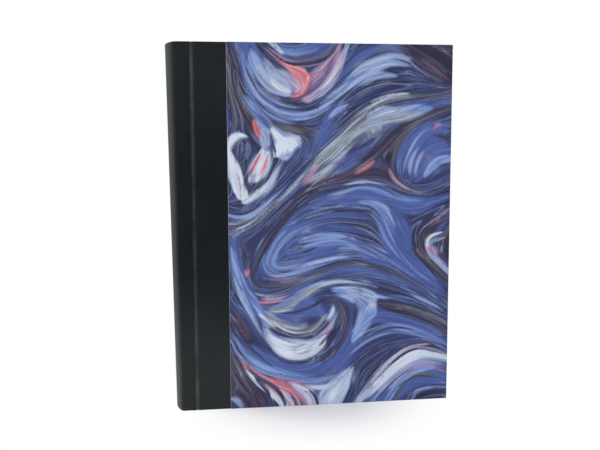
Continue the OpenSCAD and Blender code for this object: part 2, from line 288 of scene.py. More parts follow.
STROKES = {
    "royal": [
        (14, [(30, 253), (38, 243), (52, 240), (66, 244), (72, 253)]),
        (12, [(13, 252), (14, 238), (20, 226)]),
        (10, [(4, 250), (7, 236), (14, 222), (24, 211), (40, 204)]),
        (9, [(64, 192), (72, 202), (80, 208)]),
        (12, [(52, 172), (60, 182), (66, 190), (74, 196)]),
        (6, [(72, 222), (86, 235), (98, 244), (112, 246), (128, 241)]),
        (14, [(98, 192), (112, 198), (130, 204), (158, 210)]),
        (10, [(76, 160), (84, 168), (96, 176)]),
        (22, [(120, 160), (126, 174), (136, 186), (152, 192)]),
        (20, [(128, 158), (140, 174), (158, 182)]),
        (16, [(50, 138), (68, 144), (88, 145), (108, 142), (130, 139), (158, 147)]),
        (26, [(98, 141), (111, 129), (119, 111), (131, 96), (150, 78)]),
        (7, [(92, 105), (66, 101), (44, 95), (30, 94), (24, 101), (28, 114), (38, 126), (54, 136),
             (76, 140)]),
        (7, [(94, 109), (66, 107), (46, 101), (34, 100), (30, 107), (36, 118), (50, 127), (70, 132),
             (94, 131)]),
        (7, [(96, 113), (70, 112), (50, 107), (40, 107), (39, 113), (48, 120), (64, 125), (86, 124)]),
        (12, [(60, 114), (80, 116), (100, 104), (120, 90)]),
        (9, [(3, 122), (4, 106), (8, 92), (14, 78), (24, 62)]),
        (8, [(20, 76), (40, 80), (60, 92), (84, 96), (108, 92), (134, 80), (158, 66)]),
        (12, [(38, 70), (52, 71), (66, 64)]),
        (8, [(26, 66), (34, 62), (48, 58)]),
        (16, [(73, 20), (80, 38), (90, 56)]),
        (13, [(14, 44), (28, 32), (46, 26), (66, 28), (80, 38)]),
        (14, [(84, 52), (100, 60), (120, 58), (142, 48), (158, 38)]),
        (9, [(80, 34), (96, 46), (116, 52), (138, 48), (158, 40)]),
        (26, [(96, -6), (112, 10), (130, 20), (158, 14)]),
    ],
    "plum": [
        (6, [(17, 90), (20, 104), (27, 117), (36, 131), (48, 144), (62, 153), (80, 160), (98, 170),
             (110, 183)]),
        (7, [(84, 164), (98, 175), (110, 186), (124, 196), (140, 203), (158, 209)]),
        (6, [(104, 172), (110, 162), (117, 154), (128, 149), (138, 147)]),
        (7, [(78, 158), (92, 161), (106, 160), (118, 152)]),
        (10, [(152, 135), (142, 126), (136, 118), (134, 108), (142, 98), (156, 84)]),
        (12, [(152, 122), (150, 110), (156, 100)]),
        (7, [(1, 66), (8, 58), (13, 49)]),
        (22, [(-8, 44), (4, 22), (14, 10), (24, -10)]),
        (5, [(11, 112), (13, 103)]),
        (22, [(112, 258), (132, 244), (148, 234), (166, 216)]),
        (14, [(-4, 256), (2, 236), (6, 216), (12, 200), (22, 186)]),
        (5, [(14, 206), (30, 196), (46, 192), (62, 190)]),
        (9, [(96, 69), (112, 69), (128, 65), (144, 57), (162, 44)]),
        (3, [(14, 94), (20, 86), (34, 86), (50, 90), (66, 96), (82, 100), (100, 99), (120, 91), (140, 78),
             (158, 64)]),
        (4, [(62, 70), (68, 74), (76, 70), (80, 60), (78, 46), (70, 36), (58, 31)]),
        (4, [(140, 187), (148, 185), (158, 176)]),
    ],
    "olive": [
        (3, [(1, 240), (2, 224), (6, 208), (9, 196), (10, 188)]),
        (2.4, [(0, 226), (3, 212), (5, 200), (4, 190)]),
        (1.6, [(7, 226), (9, 212), (13, 202)]),
        (2, [(20, 250), (28, 243), (40, 237), (54, 236), (66, 240), (74, 250)]),
        (1.4, [(42, 240), (50, 239), (56, 243), (54, 249)]),
        (3, [(26, 196), (38, 194), (48, 190), (53, 182), (50, 170)]),
        (1.6, [(48, 190), (56, 186), (58, 176), (54, 166)], 2, 3),
        (5, [(50, 160), (66, 176), (80, 190), (92, 200), (104, 207), (120, 211), (138, 214), (158, 217)]),
        (1.6, [(82, 180), (94, 187), (106, 193), (118, 197)], 2, 3),
        (2.4, [(110, 176), (118, 187), (130, 196), (146, 204), (158, 208)]),
        (2.4, [(112, 166), (115, 178), (122, 189), (132, 197)]),
        (2, [(112, 168), (114, 160), (120, 153), (132, 148), (140, 148)]),
        (5, [(-4, 128), (6, 126), (16, 129), (26, 138), (38, 148)]),
        (2.6, [(15, 92), (19, 103), (26, 115), (32, 124)]),
        (4, [(14, 96), (17, 88), (27, 84), (42, 87), (58, 93), (76, 98), (94, 99), (112, 93), (132, 82),
             (158, 66)]),
        (2, [(134, 124), (132, 114), (136, 105), (146, 94), (158, 84)]),
        (3.4, [(104, 72), (120, 70), (136, 64), (150, 57), (164, 48)]),
        (3, [(1, 44), (3, 32), (8, 20), (13, 13), (16, 2)]),
        (3, [(2, 34), (6, 24), (11, 15)]),
        (2, [(0, 30), (3, 20), (9, 12), (12, 6)]),
        (2.2, [(85, 28), (89, 24), (88, 14)]),
        (2.6, [(84, 2), (96, 16), (110, 30), (122, 38), (138, 42), (158, 38)]),
        (4.6, [(114, -4), (118, 8), (126, 17), (138, 19), (152, 14)]),
        (1.6, [(122, -4), (128, 5), (136, 7)]),
        (1.6, [(20, 66), (34, 55), (48, 49), (60, 52), (68, 62)]),
    ],
    "sky": [
        (5, [(10, 242), (13, 226), (21, 213), (32, 205), (46, 202), (58, 204), (70, 212), (84, 224),
             (98, 235), (112, 241), (126, 239)]),
        (9, [(70, 212), (84, 224), (96, 232), (110, 236), (126, 234)]),
        (8, [(78, 216), (90, 224), (102, 228), (115, 227)]),
        (3, [(16, 212), (28, 202), (42, 198), (56, 199), (68, 205), (80, 214)]),
        (1.2, [(11, 214), (18, 204), (26, 196), (33, 190)], 3, 2.4),
        (7, [(19, 198), (23, 191), (26, 186), (25, 182)]),
        (10, [(16, 242), (20, 228), (28, 220)]),
        (1.6, [(32, 246), (42, 243), (54, 243), (64, 247)], 2, 3.4),
        (4, [(68, 198), (75, 204), (82, 207)]),
        (9, [(92, 194), (106, 200), (122, 202), (140, 206)]),
        (3, [(120, 160), (123, 174), (129, 186), (139, 194)]),
        (3, [(126, 160), (128, 172), (134, 182)], 2, 5),
        (6, [(134, 158), (144, 170), (158, 172)]),
        (4, [(-3, 135), (6, 132), (14, 133), (22, 138), (32, 148), (44, 159)]),
        (2, [(2, 116), (3, 104), (7, 92), (13, 80)], 2, 4),
        (5, [(48, 116), (58, 118), (70, 119), (82, 118)]),
        (3, [(50, 112), (60, 114), (74, 115), (90, 110)]),
        (1.2, [(88, 103), (62, 99), (42, 94), (30, 95), (26, 102), (31, 114), (42, 125),
               (58, 132)], 3, 3.2),
        (5, [(78, 150), (96, 151), (114, 146), (128, 143), (146, 147)]),
        (4, [(88, 142), (104, 140), (112, 132), (116, 122)]),
        (1.1, [(100, 140), (108, 130), (114, 118), (122, 106), (134, 94)], 4, 4),
        (1.1, [(78, 119), (92, 116), (106, 108), (122, 96), (142, 82)], 2, 3),
        (3, [(60, 88), (78, 91), (96, 91), (114, 86), (134, 76)]),
        (3, [(20, 70), (24, 66), (30, 70), (42, 76), (54, 84), (70, 90)]),
        (4, [(12, 84), (20, 72), (24, 62), (24, 50), (28, 42)]),
        (3, [(2, 104), (6, 84), (14, 66), (22, 50)]),
        (5, [(4, 50), (14, 34), (28, 26), (44, 20), (60, 17), (76, 22)]),
        (1.6, [(1, 54), (8, 38), (20, 28), (36, 22), (52, 16)], 2, 3),
        (14, [(68, 80), (84, 78), (95, 70), (92, 56), (84, 42)]),
        (5, [(88, 79), (99, 76.5), (111, 74)]),
        (3, [(104, 76), (120, 76), (134, 70), (148, 62)]),
        (2, [(96, 84), (112, 80), (130, 74), (150, 64)]),
        (10, [(62, -4), (68, 8), (76, 20)]),
        (4, [(96, -4), (112, 16), (128, 28), (150, 26), (158, 22)]),
        (6, [(106, -4), (116, 10), (128, 22), (146, 24)]),
        (2.4, [(126, -4), (132, 6), (144, 8)]),
        (2, [(88, 46), (104, 54), (122, 53), (140, 46), (156, 36)], 2, 4),
        (2, [(84, 30), (100, 42), (118, 46)], 2, 4),
    ],
    "sage": [
        (7, [(11, 142), (19, 147), (27, 157), (34, 168)]),
        (2, [(50, 166), (64, 178), (78, 191), (92, 203), (106, 210), (124, 213)]),
        (1.2, [(54, 160), (70, 175), (86, 190), (100, 200), (118, 207)], 2, 2.4),
        (12, [(56, 162), (69, 173), (80, 183), (94, 193)]),
        (5, [(92, 191), (104, 197), (118, 199), (134, 203)]),
        (5, [(84, 184), (94, 190), (106, 195)]),
        (3, [(-2, 120), (8, 124), (18, 130), (28, 140), (40, 150), (52, 161)]),
        (1.2, [(-2, 130), (8, 129), (18, 134), (28, 144)], 2, 2),
        (4, [(54, 155), (63, 161), (72, 167)]),
        (4, [(64, 146), (76, 148), (88, 152)]),
        (1.2, [(34, 88), (50, 91), (66, 96), (84, 101), (100, 99)]),
        (4, [(26, 68), (38, 70), (48, 76), (60, 84), (76, 86), (92, 84), (104, 78)]),
        (1.4, [(2, 14), (6, 24), (3, 34)]),
        (5, [(104, 20), (116, 30), (128, 35), (140, 36)]),
        (1.6, [(24, 60), (36, 53), (50, 51), (60, 56), (65, 64)]),
        (1.2, [(26, 65), (36, 58), (46, 55), (52, 57)]),
    ],
    "pale": [
        (7, [(19, 232), (23, 223), (30, 217), (42, 213)]),
        (4, [(24, 236), (29, 228), (34, 223), (40, 220)]),
        (6, [(28, 226), (35, 222), (42, 219)]),
        (3, [(34, 230), (39, 226), (43, 221)]),
        (3, [(60, 214), (69, 222), (75, 232), (79, 243)]),
        (5, [(50, 212), (62, 216), (70, 225), (77, 238), (81, 252)]),
        (3, [(56, 222), (62, 227), (66, 234)]),
        (2, [(14, 226), (22, 215), (34, 207), (46, 204), (58, 206)], 2, 2.6),
        (1.6, [(58, 203), (72, 212), (86, 225), (98, 234), (112, 239), (122, 238)], 3, 2.6),
        (7, [(86, 227), (99, 233), (112, 236), (126, 233)]),
        (3, [(90, 224), (100, 227), (112, 228)]),
        (8, [(23, 193), (26, 187), (25, 179)]),
        (6, [(64, -4), (67, 8), (70, 18)]),
        (8, [(29, 193), (35, 187), (42, 180)]),
        (14, [(35, 188), (39, 182), (37, 173)]),
        (12, [(34, 187), (41, 184), (48, 182)]),
        (13, [(17, 159), (21, 168), (25, 176)]),
        (6, [(2, 176), (3, 184), (8, 188), (12, 187)]),
        (8, [(94, 199), (104, 202), (116, 203)]),
        (1.8, [(76, 152), (90, 155), (104, 153), (118, 147)]),
        (1, [(26, 92), (36, 93), (48, 97), (62, 102), (80, 103), (96, 98)]),
        (1.2, [(84, 112), (98, 106), (112, 97), (128, 86), (142, 76)]),
        (1.4, [(150, 116), (141, 115), (139, 107), (147, 98), (160, 88)]),
        (10, [(76, 82), (90, 79), (99, 73), (94, 63)]),
        (4, [(84, 86), (94, 85), (104, 81)]),
        (1.2, [(8, 82), (13, 70), (19, 58)]),
        (1.4, [(126, 76), (136, 70), (146, 66)]),
        (6, [(66, 60), (71, 64), (72, 70)]),
        (4, [(60, 50), (68, 54), (72, 62)]),
        (9, [(23, 56), (30, 47), (42, 43), (54, 43), (64, 50)]),
        (18, [(64, -14), (69, 0), (75, 12), (86, 26)]),
        (9, [(106, 18), (124, 31), (142, 33), (164, 26)]),
        (6, [(104, 8), (118, 20), (128, 27)]),
        (3, [(52, 12), (62, 14), (70, 16)]),
        (3, [(-2, 8), (3, 7), (8, 0)]),
    ],
    "rose": [
        (9, [(52, 214), (62, 220), (69, 229), (74, 240), (77, 250)]),
        (5, [(54, 226), (60, 229), (65, 234), (71, 242)]),
        (10, [(52, 215), (58, 222), (63, 228), (68, 236)]),
        (8, [(40, 228), (46, 222), (50, 216), (54, 210)]),
        (3, [(26, 244), (36, 237), (48, 234), (60, 235)]),
        (0.8, [(130, 168), (134, 175), (138, 170)]),
        (1.6, [(141, 189), (143, 195), (146, 190)]),
        (3, [(18, 160), (22, 168), (26, 176)]),
        (3, [(50, 154), (56, 160), (62, 166)]),
        (1, [(110, 164), (114, 157), (122, 151)]),
        (2, [(82, 119), (88, 116)]),
        (0.5, [(26, 90), (38, 90), (52, 93)]),
        (3, [(22, 78), (32, 77), (40, 81)]),
        (3, [(62, 50), (67, 54), (71, 61)]),
        (1.6, [(100, 20), (112, 31), (124, 38), (140, 41)]),
        (1.4, [(112, 10), (118, 18), (128, 25), (140, 26), (154, 20)]),
        (10, [(40, 17), (50, 11), (56, 4), (58, -10)]),
        (9, [(8, 30), (20, 19), (30, 12), (38, 5), (43, -10)]),
        (2, [(156, 138), (146, 131), (138, 127)]),
        (3, [(140, 110), (142, 106), (140, 102)]),
    ],
    "white": [
        (3, [(24, 252), (30, 247), (38, 241)]),
        (3, [(44, 203), (56, 206), (68, 213), (80, 222), (90, 230)]),
        (3, [(56, 216), (65, 221), (71, 229), (76, 240)]),
        (1.6, [(58, 224), (64, 228), (69, 236)]),
        (2, [(28, 224), (34, 219), (42, 216)]),
        (3, [(86, 226), (97, 231), (110, 235), (122, 233)]),
        (1.4, [(84, 218), (94, 224), (104, 226)]),
        (2.2, [(102, 238), (113, 239.5), (122, 238), (129, 232), (140, 225)]),
        (0.9, [(96, 209), (108, 213), (121, 215)]),
        (5, [(2, 178), (3, 184), (8, 188), (12, 188)]),
        (10, [(1, 178), (4, 162), (9, 150), (14, 140)]),
        (5, [(9, 141), (18, 146), (27, 156), (35, 169)]),
        (3, [(31, 190), (37, 184), (40, 177)]),
        (10, [(31, 174), (38, 180), (48, 188)]),
        (4, [(29, 193), (34, 187), (39, 182)]),
        (0.9, [(19, 198), (20, 192)]),
        (1.2, [(76, 154), (90, 154), (104, 152)]),
        (1.2, [(160, 140), (146, 131), (135, 124), (131, 117), (132, 108), (137, 102)]),
        (0.8, [(149, 120), (139, 117), (138, 110)]),
        (1.2, [(149, 112), (147, 106), (152, 108)]),
        (3, [(62, 84), (78, 86.5), (93, 84), (106, 78)]),
        (2.4, [(15, 81), (24, 78), (33, 77.5), (40, 79)]),
        (10.5, [(25, 51), (32, 42.5), (42, 38), (52, 38), (60, 42), (66, 50)]),
        (7, [(28, 49), (38, 43), (50, 42), (61, 46)]),
        (8, [(78, -14), (95, 7), (109, 22), (124, 31), (140, 34), (162, 29)]),
        (1.8, [(84, -2), (100, 18), (114, 32), (126, 39), (140, 41)]),
        (1.8, [(30, 143), (46, 158), (60, 171), (74, 185), (88, 198), (101, 208), (112, 213), (123, 215)]),
        (10, [(16, 156), (20, 166), (25, 177)]),
        (1.2, [(20, 66), (32, 57), (46, 50), (60, 53), (70, 63)]),
        (1.2, [(-2, 122), (10, 126), (24, 136), (40, 151), (56, 166)]),
        (7, [(9, 27), (20, 17), (29, 10), (36, 3), (39, -12)]),
        (6, [(42, 15), (51, 10), (56, 3), (57, -10)]),
        (12, [(67, -14), (72, 0), (77, 11), (85, 24)]),
        (4, [(50, 15), (60, 13), (68, 13), (77, 18)]),
        (3, [(60, -8), (64, 2), (70, 10)]),
    ],
    "coral": [
        (2.4, [(24, 244), (32, 238), (42, 233), (54, 231)]),
        (9, [(38, 235), (47, 230), (52, 224), (54, 215)]),
        (4, [(53, 224), (51, 217), (46, 213), (41, 211)]),
        (1.6, [(60, 228), (63, 226), (65, 228)]),
        (1.6, [(78, 243), (72, 240), (66, 235)]),
        (3.4, [(17, 198), (19, 193), (21, 187)]),
        (1.4, [(14, 161), (17, 168), (21, 175)]),
        (1.4, [(20, 160), (24, 168), (26, 175)]),
        (1.6, [(86, 161), (93, 165), (100, 171)]),
        (3.4, [(13, 92), (13, 96), (15, 99)]),
        (2.2, [(139, 110), (142, 107)]),
        (0.7, [(20, 75), (31, 75), (41, 79)]),
        (4.4, [(6, 34), (14, 27), (22, 21), (32, 17), (41, 12), (47, 4), (49, -8)]),
        (1.2, [(22, 17), (31, 11), (37, 3)]),
        (1.2, [(66, 48), (68, 51)]),
        (1.6, [(111, 14), (115, 16)]),
    ],
    "navy": [
        (1.6, [(14, 226), (20, 216), (30, 209), (42, 205)]),
        (1.2, [(12, 232), (18, 218), (28, 208), (42, 202)]),
        (2.4, [(20, 250), (30, 240), (42, 235), (56, 235), (68, 240), (76, 250)]),
        (1, [(62, 207), (76, 217), (88, 228), (98, 234)], 2, 3.2),
        (1.4, [(86, 225), (96, 231), (108, 233)]),
        (1.2, [(120, 231), (124, 234), (128, 230)]),
        (1.4, [(48, 162), (62, 176), (76, 189), (90, 201), (104, 208)]),
        (1.2, [(29, 192), (30, 184), (32, 175)]),
        (1.4, [(19, 181), (25, 178.5), (31, 180)]),
        (2.4, [(12, 150), (19, 152), (27, 161), (32, 174)]),
        (2.2, [(14, 149), (12, 158), (12, 170)]),
        (2, [(29, 192), (30, 183), (33, 172)]),
        (1, [(8, 150), (12, 158), (16, 166)]),
        (1.4, [(-2, 139), (6, 135), (14, 136), (22, 142)]),
        (3, [(18, 92), (22, 104), (29, 116), (38, 129), (50, 142)]),
        (1.4, [(48, 108), (54, 109), (60, 112)]),
        (1.4, [(94, 133), (100, 138), (105, 140)]),
        (2.4, [(28, 88), (44, 91), (60, 97), (80, 100), (100, 97), (120, 88), (142, 74)]),
        (1.2, [(116, 150), (128, 146), (140, 146), (156, 152)]),
        (3, [(152, 139), (140, 131), (130, 124), (128, 114), (131, 105), (142, 92), (156, 78)]),
        (1.6, [(40, 66), (52, 68), (62, 74), (72, 76)]),
        (2, [(28, 38), (40, 31), (54, 32), (64, 38), (70, 48)]),
        (1.4, [(30, 56), (44, 50), (58, 52), (66, 60), (69, 68)]),
        (1.2, [(60, 42), (64, 45), (67, 49)]),
        (1.4, [(2, 62), (8, 52), (16, 40), (30, 28)]),
        (1.2, [(84, 76), (88, 66), (86, 52)], 2, 3),
        (3, [(98, 69), (112, 67), (130, 62), (150, 52)]),
        (1.2, [(86, 44), (102, 52), (120, 55), (138, 50)], 2, 4),
        (2, [(78, 20), (90, 30), (102, 38), (116, 42)]),
        (2, [(82, 20), (86, 10), (82, 0)]),
        (1.6, [(88, 0), (104, 19), (118, 32), (134, 37), (154, 33)]),
        (1.2, [(100, 0), (114, 15), (130, 26)]),
        (1.6, [(112, 0), (120, 12), (132, 18), (146, 16)]),
        (2, [(8, 34), (16, 24), (30, 14), (36, 4), (36, -5)]),
        (3, [(16, 22), (24, 12), (28, 0)]),
        (1.4, [(40, 12), (45, 4), (46, -5)]),
        (0.9, [(12, 29), (20, 23), (30, 18), (40, 13)]),
        (2, [(54, 12), (60, 6), (62, -6)]),
    ],
}

# Sizes of the drawing, in millimetres
FIELD_LIMIT = 8.0
SAMPLE = 1.0
FLOW_CELL = 2.0
DRAW_CELL = 0.5
MARGIN = 20.0
SWAY = 0.5
SWAY_BLUR = 12
INK_REACH = 4.0

# How fast the ends of a stroke get thinner, and how its pull on the flow fades with distance
TAPER = 0.85
PULL_CORE = 4
PULL_FADE = 1.6

# The noises that are drawn out with the ink: how many cells they are blurred and how far they are drawn
NOISES = {"grain": (1, 30.0), "band": (4, 60.0), "hair": (2, 80.0)}


def curve_through(points):
    """Points about one sample apart on the smooth curve through the given ones."""
    path = np.array([points[0], *points, points[-1]], float)
    parts = []
    for i in range(1, len(path) - 2):
        a, b, c, d = path[i - 1:i + 3]
        count = max(3, int(np.linalg.norm(c - b) / SAMPLE))
        t = np.linspace(0, 1, count, endpoint=False)[:, None]
        cubic = (3 * b - a - 3 * c + d) * t ** 3 + (2 * a - 5 * b + 4 * c - d) * t ** 2
        parts.append((2 * b + (c - a) * t + cubic) / 2)
    parts.append(path[-2:-1])
    return np.concatenate(parts)


class Stroke:
    """One stroke of ink: its line, its half width along the line and its direction."""

    def __init__(self, width, line):
        self.line = line
        share = np.linspace(0, 1, len(line))
        self.half = width / 2 * np.sin(np.pi * share) ** TAPER
        along = np.gradient(line, axis=0)
        self.angle = np.arctan2(along[:, 1], along[:, 0])


def strokes_of(width, points, count=1, gap=0.0):
    """A stroke, or a bundle of them side by side, each with its own width, place and ends."""
    line = curve_through(points)
    if count == 1:
        return [Stroke(width, line)]
    along = np.gradient(line, axis=0)
    across = np.stack([-along[:, 1], along[:, 0]], axis=1) / np.linalg.norm(along, axis=1, keepdims=True)
    made = []
    for i in range(count):
        aside = (i - (count - 1) / 2 + chance.uniform(-0.2, 0.2)) * gap
        start = int(len(line) * chance.uniform(0, 0.2))
        end = int(len(line) * chance.uniform(0.8, 1))
        made.append(Stroke(width * chance.uniform(0.7, 1.3), (line + across * aside)[start:end]))
    return made


def ink_field(strokes, u, w):
    """How far each place lies inside the nearest edge of an ink, up to the limit, negative outside."""
    field = np.full(len(u), -FIELD_LIMIT, np.float32)
    for stroke in strokes:
        reach = stroke.half.max() + FIELD_LIMIT
        low = stroke.line.min(axis=0) - reach
        high = stroke.line.max(axis=0) + reach
        near = np.flatnonzero((u > low[0]) & (u < high[0]) & (w > low[1]) & (w < high[1]))
        best = np.full(len(near), -FIELD_LIMIT, np.float32)
        for (x, y), half in zip(stroke.line, stroke.half):
            np.maximum(best, half - np.hypot(u[near] - x, w[near] - y), out=best)
        field[near] = np.maximum(field[near], best)
    return np.minimum(field, FIELD_LIMIT)


class Lattice:
    """Values on an even grid over the sheet and its margin, read between its points."""

    def __init__(self, cell):
        self.cell = cell
        self.u = np.arange(-MARGIN, SHEET_W + MARGIN + cell, cell)
        self.w = np.arange(-MARGIN, BOOK_H + MARGIN + cell, cell)
        self.shape = (len(self.w), len(self.u))

    def points(self):
        """The place of every point, row by row."""
        u, w = np.meshgrid(self.u, self.w)
        return u.ravel(), w.ravel()

    def read(self, values, u, w):
        """The value at each place, between the four points round it."""
        x = np.clip((u + MARGIN) / self.cell, 0, self.shape[1] - 1.001)
        y = np.clip((w + MARGIN) / self.cell, 0, self.shape[0] - 1.001)
        column = x.astype(int)
        row = y.astype(int)
        fx = x - column
        fy = y - row
        below = values[row, column] * (1 - fx) + values[row, column + 1] * fx
        above = values[row + 1, column] * (1 - fx) + values[row + 1, column + 1] * fx
        return below * (1 - fy) + above * fy

    def nearest(self, u, w):
        """The number of the point nearest to each place."""
        column = np.clip(((u + MARGIN) / self.cell + 0.5).astype(int), 0, self.shape[1] - 1)
        row = np.clip(((w + MARGIN) / self.cell + 0.5).astype(int), 0, self.shape[0] - 1)
        return row * self.shape[1] + column


def ink_flow(strokes, lattice):
    """The direction that the ink was drawn in, as the cosine and sine of twice its angle."""
    u, w = lattice.points()
    cosine = np.zeros(len(u))
    sine = np.zeros(len(u))
    for stroke in strokes:
        gap = (u[:, None] - stroke.line[::2, 0]) ** 2 + (w[:, None] - stroke.line[::2, 1]) ** 2
        weight = 1 / (gap + PULL_CORE) ** PULL_FADE
        cosine += weight @ np.cos(2 * stroke.angle[::2])
        sine += weight @ np.sin(2 * stroke.angle[::2])
    length = np.hypot(cosine, sine) + 1e-12
    return (cosine / length).reshape(lattice.shape), (sine / length).reshape(lattice.shape)


def blur(values, reach):
    """Softens a grid of values over a reach of cells."""
    ramp = np.arange(-3 * reach, 3 * reach + 1)
    weight = np.exp(-(ramp / reach) ** 2 / 2)
    weight /= weight.sum()
    for axis in (0, 1):
        values = np.apply_along_axis(np.convolve, axis, values, weight, mode="same")
    return values


def drawn_out(channels, lattice, flow_lattice, cosine, sine):
    """Averages each channel, a grid of values with a reach, along the flow as a comb draws ink."""
    u, w = lattice.points()
    c2 = flow_lattice.read(cosine, u, w)
    s2 = flow_lattice.read(sine, u, w)
    angle = np.arctan2(s2, c2) / 2
    flow_u = np.cos(angle)
    flow_w = np.sin(angle)
    flat = [values.ravel() for values, reach in channels]
    reaches = [reach for values, reach in channels]
    totals = [values.copy() for values in flat]
    weights = [1.0] * len(flat)
    pace = 2 * lattice.cell
    for side in (1, -1):
        x = u.copy()
        y = w.copy()
        last_u = side * flow_u
        last_w = side * flow_w
        for i in range(1, int(max(reaches) / pace) + 1):
            x += last_u * pace
            y += last_w * pace
            place = lattice.nearest(x, y)
            next_u = flow_u[place]
            next_w = flow_w[place]
            turn = np.where(next_u * last_u + next_w * last_w < 0, -1.0, 1.0)
            last_u = next_u * turn
            last_w = next_w * turn
            for k, reach in enumerate(reaches):
                weight = 1 - i * pace / reach
                if weight > 0:
                    totals[k] += weight * flat[k][place]
                    weights[k] += weight / 2
    return [(total / (2 * weight - 1)).reshape(lattice.shape) for total, weight in zip(totals, weights)]


def spread(values):
    """Spreads values evenly from 0 to 1, in their own order."""
    order = np.empty(values.size)
    order[np.argsort(values.ravel())] = np.linspace(0, 1, values.size)
    return order.reshape(values.shape)


def marbling():
    """Every ink's field and every noise, drawn out on one lattice."""
    inks = {name: [s for spec in specs for s in strokes_of(*spec)] for name, specs in STROKES.items()}
    every = [stroke for strokes in inks.values() for stroke in strokes]
    flow_lattice = Lattice(FLOW_CELL)
    cosine, sine = ink_flow(every, flow_lattice)
    lattice = Lattice(DRAW_CELL)
    u, w = lattice.points()
    waves = [blur(chance.normal(size=lattice.shape), SWAY_BLUR) for _ in range(2)]
    sway_u, sway_w = [wave.ravel() / wave.std() * SWAY for wave in waves]
    channels = []
    for strokes in inks.values():
        field = ink_field(strokes, u + sway_u, w + sway_w)
        channels.append((field.reshape(lattice.shape), INK_REACH))
    for softness, reach in NOISES.values():
        channels.append((blur(chance.normal(size=lattice.shape), softness), reach))
    values = dict(zip([*inks, *NOISES], drawn_out(channels, lattice, flow_lattice, cosine, sine)))
    for name in NOISES:
        values[name] = spread(values[name])
    return lattice, values


# The sheets of marbled paper

# CELL is the grid that carries the ink, and CUT how far the cut edge goes down to the cloth
CELL = 0.7
EDGE_R = 0.5
BOARD_DEPTH = PRINT_Y - INNER_Y
EDGE_ROWS = np.array([0.0, 0.17, 0.34, 0.5])
CUT = 0.28


def paper_sheet(name, lattice, values, material, back):
    """A sheet over the outside of a board, round its three edges and folded in behind them."""
    inner_edge = [-CUT, 0, 0.15]
    across = np.concatenate([inner_edge, even(0.5, SHEET_W - EDGE_R, CELL), SHEET_W - EDGE_ROWS[-2::-1]])
    up = np.concatenate([EDGE_ROWS, even(EDGE_R, BOOK_H - EDGE_R, CELL)[1:-1], BOOK_H - EDGE_ROWS[::-1]])
    middle = even(EDGE_R, BOARD_DEPTH - EDGE_R, 0.6)[1:-1]
    inner = np.array([0.17, 0.34, 0.5, 1.5, 3.5, TURN_IN])
    over = np.concatenate([EDGE_ROWS, middle, BOARD_DEPTH - EDGE_ROWS[::-1], BOARD_DEPTH + inner])

    def square_place(a, b, edge, s):
        """A place on the sharp-edged board: a across, b up, and s over the named edge."""
        deep = np.minimum(s, BOARD_DEPTH)
        behind = np.maximum(s - BOARD_DEPTH, 0)
        x = PAPER_X + np.maximum(a, 0) * (1 - behind / SHEET_W)
        z = b * (1 - 2 * behind / BOOK_H) + behind
        if edge == "face":
            return np.stack([PAPER_X + np.maximum(a, 0), a * 0 - PRINT_Y, b], axis=-1)
        if edge == "fore":
            return np.stack([FORE_X - behind, deep - PRINT_Y, z], axis=-1)
        if edge == "head":
            return np.stack([x, deep - PRINT_Y, BOOK_H - behind], axis=-1)
        return np.stack([x, deep - PRINT_Y, behind], axis=-1)

    patches = []
    a, b = np.meshgrid(across, up)
    patches.append((square_place(a, b, "face", a * 0), a, b, a, False))
    s, b = np.meshgrid(over, up)
    patches.append((square_place(s * 0 + SHEET_W, b, "fore", s), s + SHEET_W, b, s * 0 + 1, False))
    a, s = np.meshgrid(across, over)
    patches.append((square_place(a, a * 0, "head", s), a, BOOK_H + s, a, False))
    patches.append((square_place(a, a * 0, "tail", s), a, -s, a, True))

    points, faces, u, w = [], [], [], []
    count = 0
    low = np.array([-1e3, EDGE_R - PRINT_Y, EDGE_R])
    high = np.array([FORE_X - EDGE_R, -INNER_Y - EDGE_R, BOOK_H - EDGE_R])
    for place, patch_u, patch_w, cut, flip in patches:
        centre = np.clip(place, low, high)
        out = place - centre
        out /= np.linalg.norm(out, axis=-1, keepdims=True)
        radius = EDGE_R + np.minimum(cut, 0)
        rows, columns = patch_u.shape
        points.append((centre + out * radius[..., None]).reshape(-1, 3))
        u.append(patch_u.ravel())
        w.append(patch_w.ravel())
        faces += quads(rows, columns, count, flip != back)
        count += rows * columns
    points = np.concatenate(points)
    u = np.concatenate(u)
    w = np.concatenate(w)
    if back:
        points[:, 1] *= -1
    obj = make_object(name, points, faces, material)
    give_uv(obj, u, w)
    sheet_u = SHEET_W - u if back else u
    sheet_w = BOOK_H - w if back else w
    for key, field in values.items():
        give_values(obj, key, lattice.read(field, sheet_u, sheet_w))
    give_values(obj, "cut", u)
    return obj


# The layers of colour that show one after another across the streaks, for the ground and for each
# ink: the share of each layer and its colour. Each ink also has how soft its edge is and how far
# streaks run over it

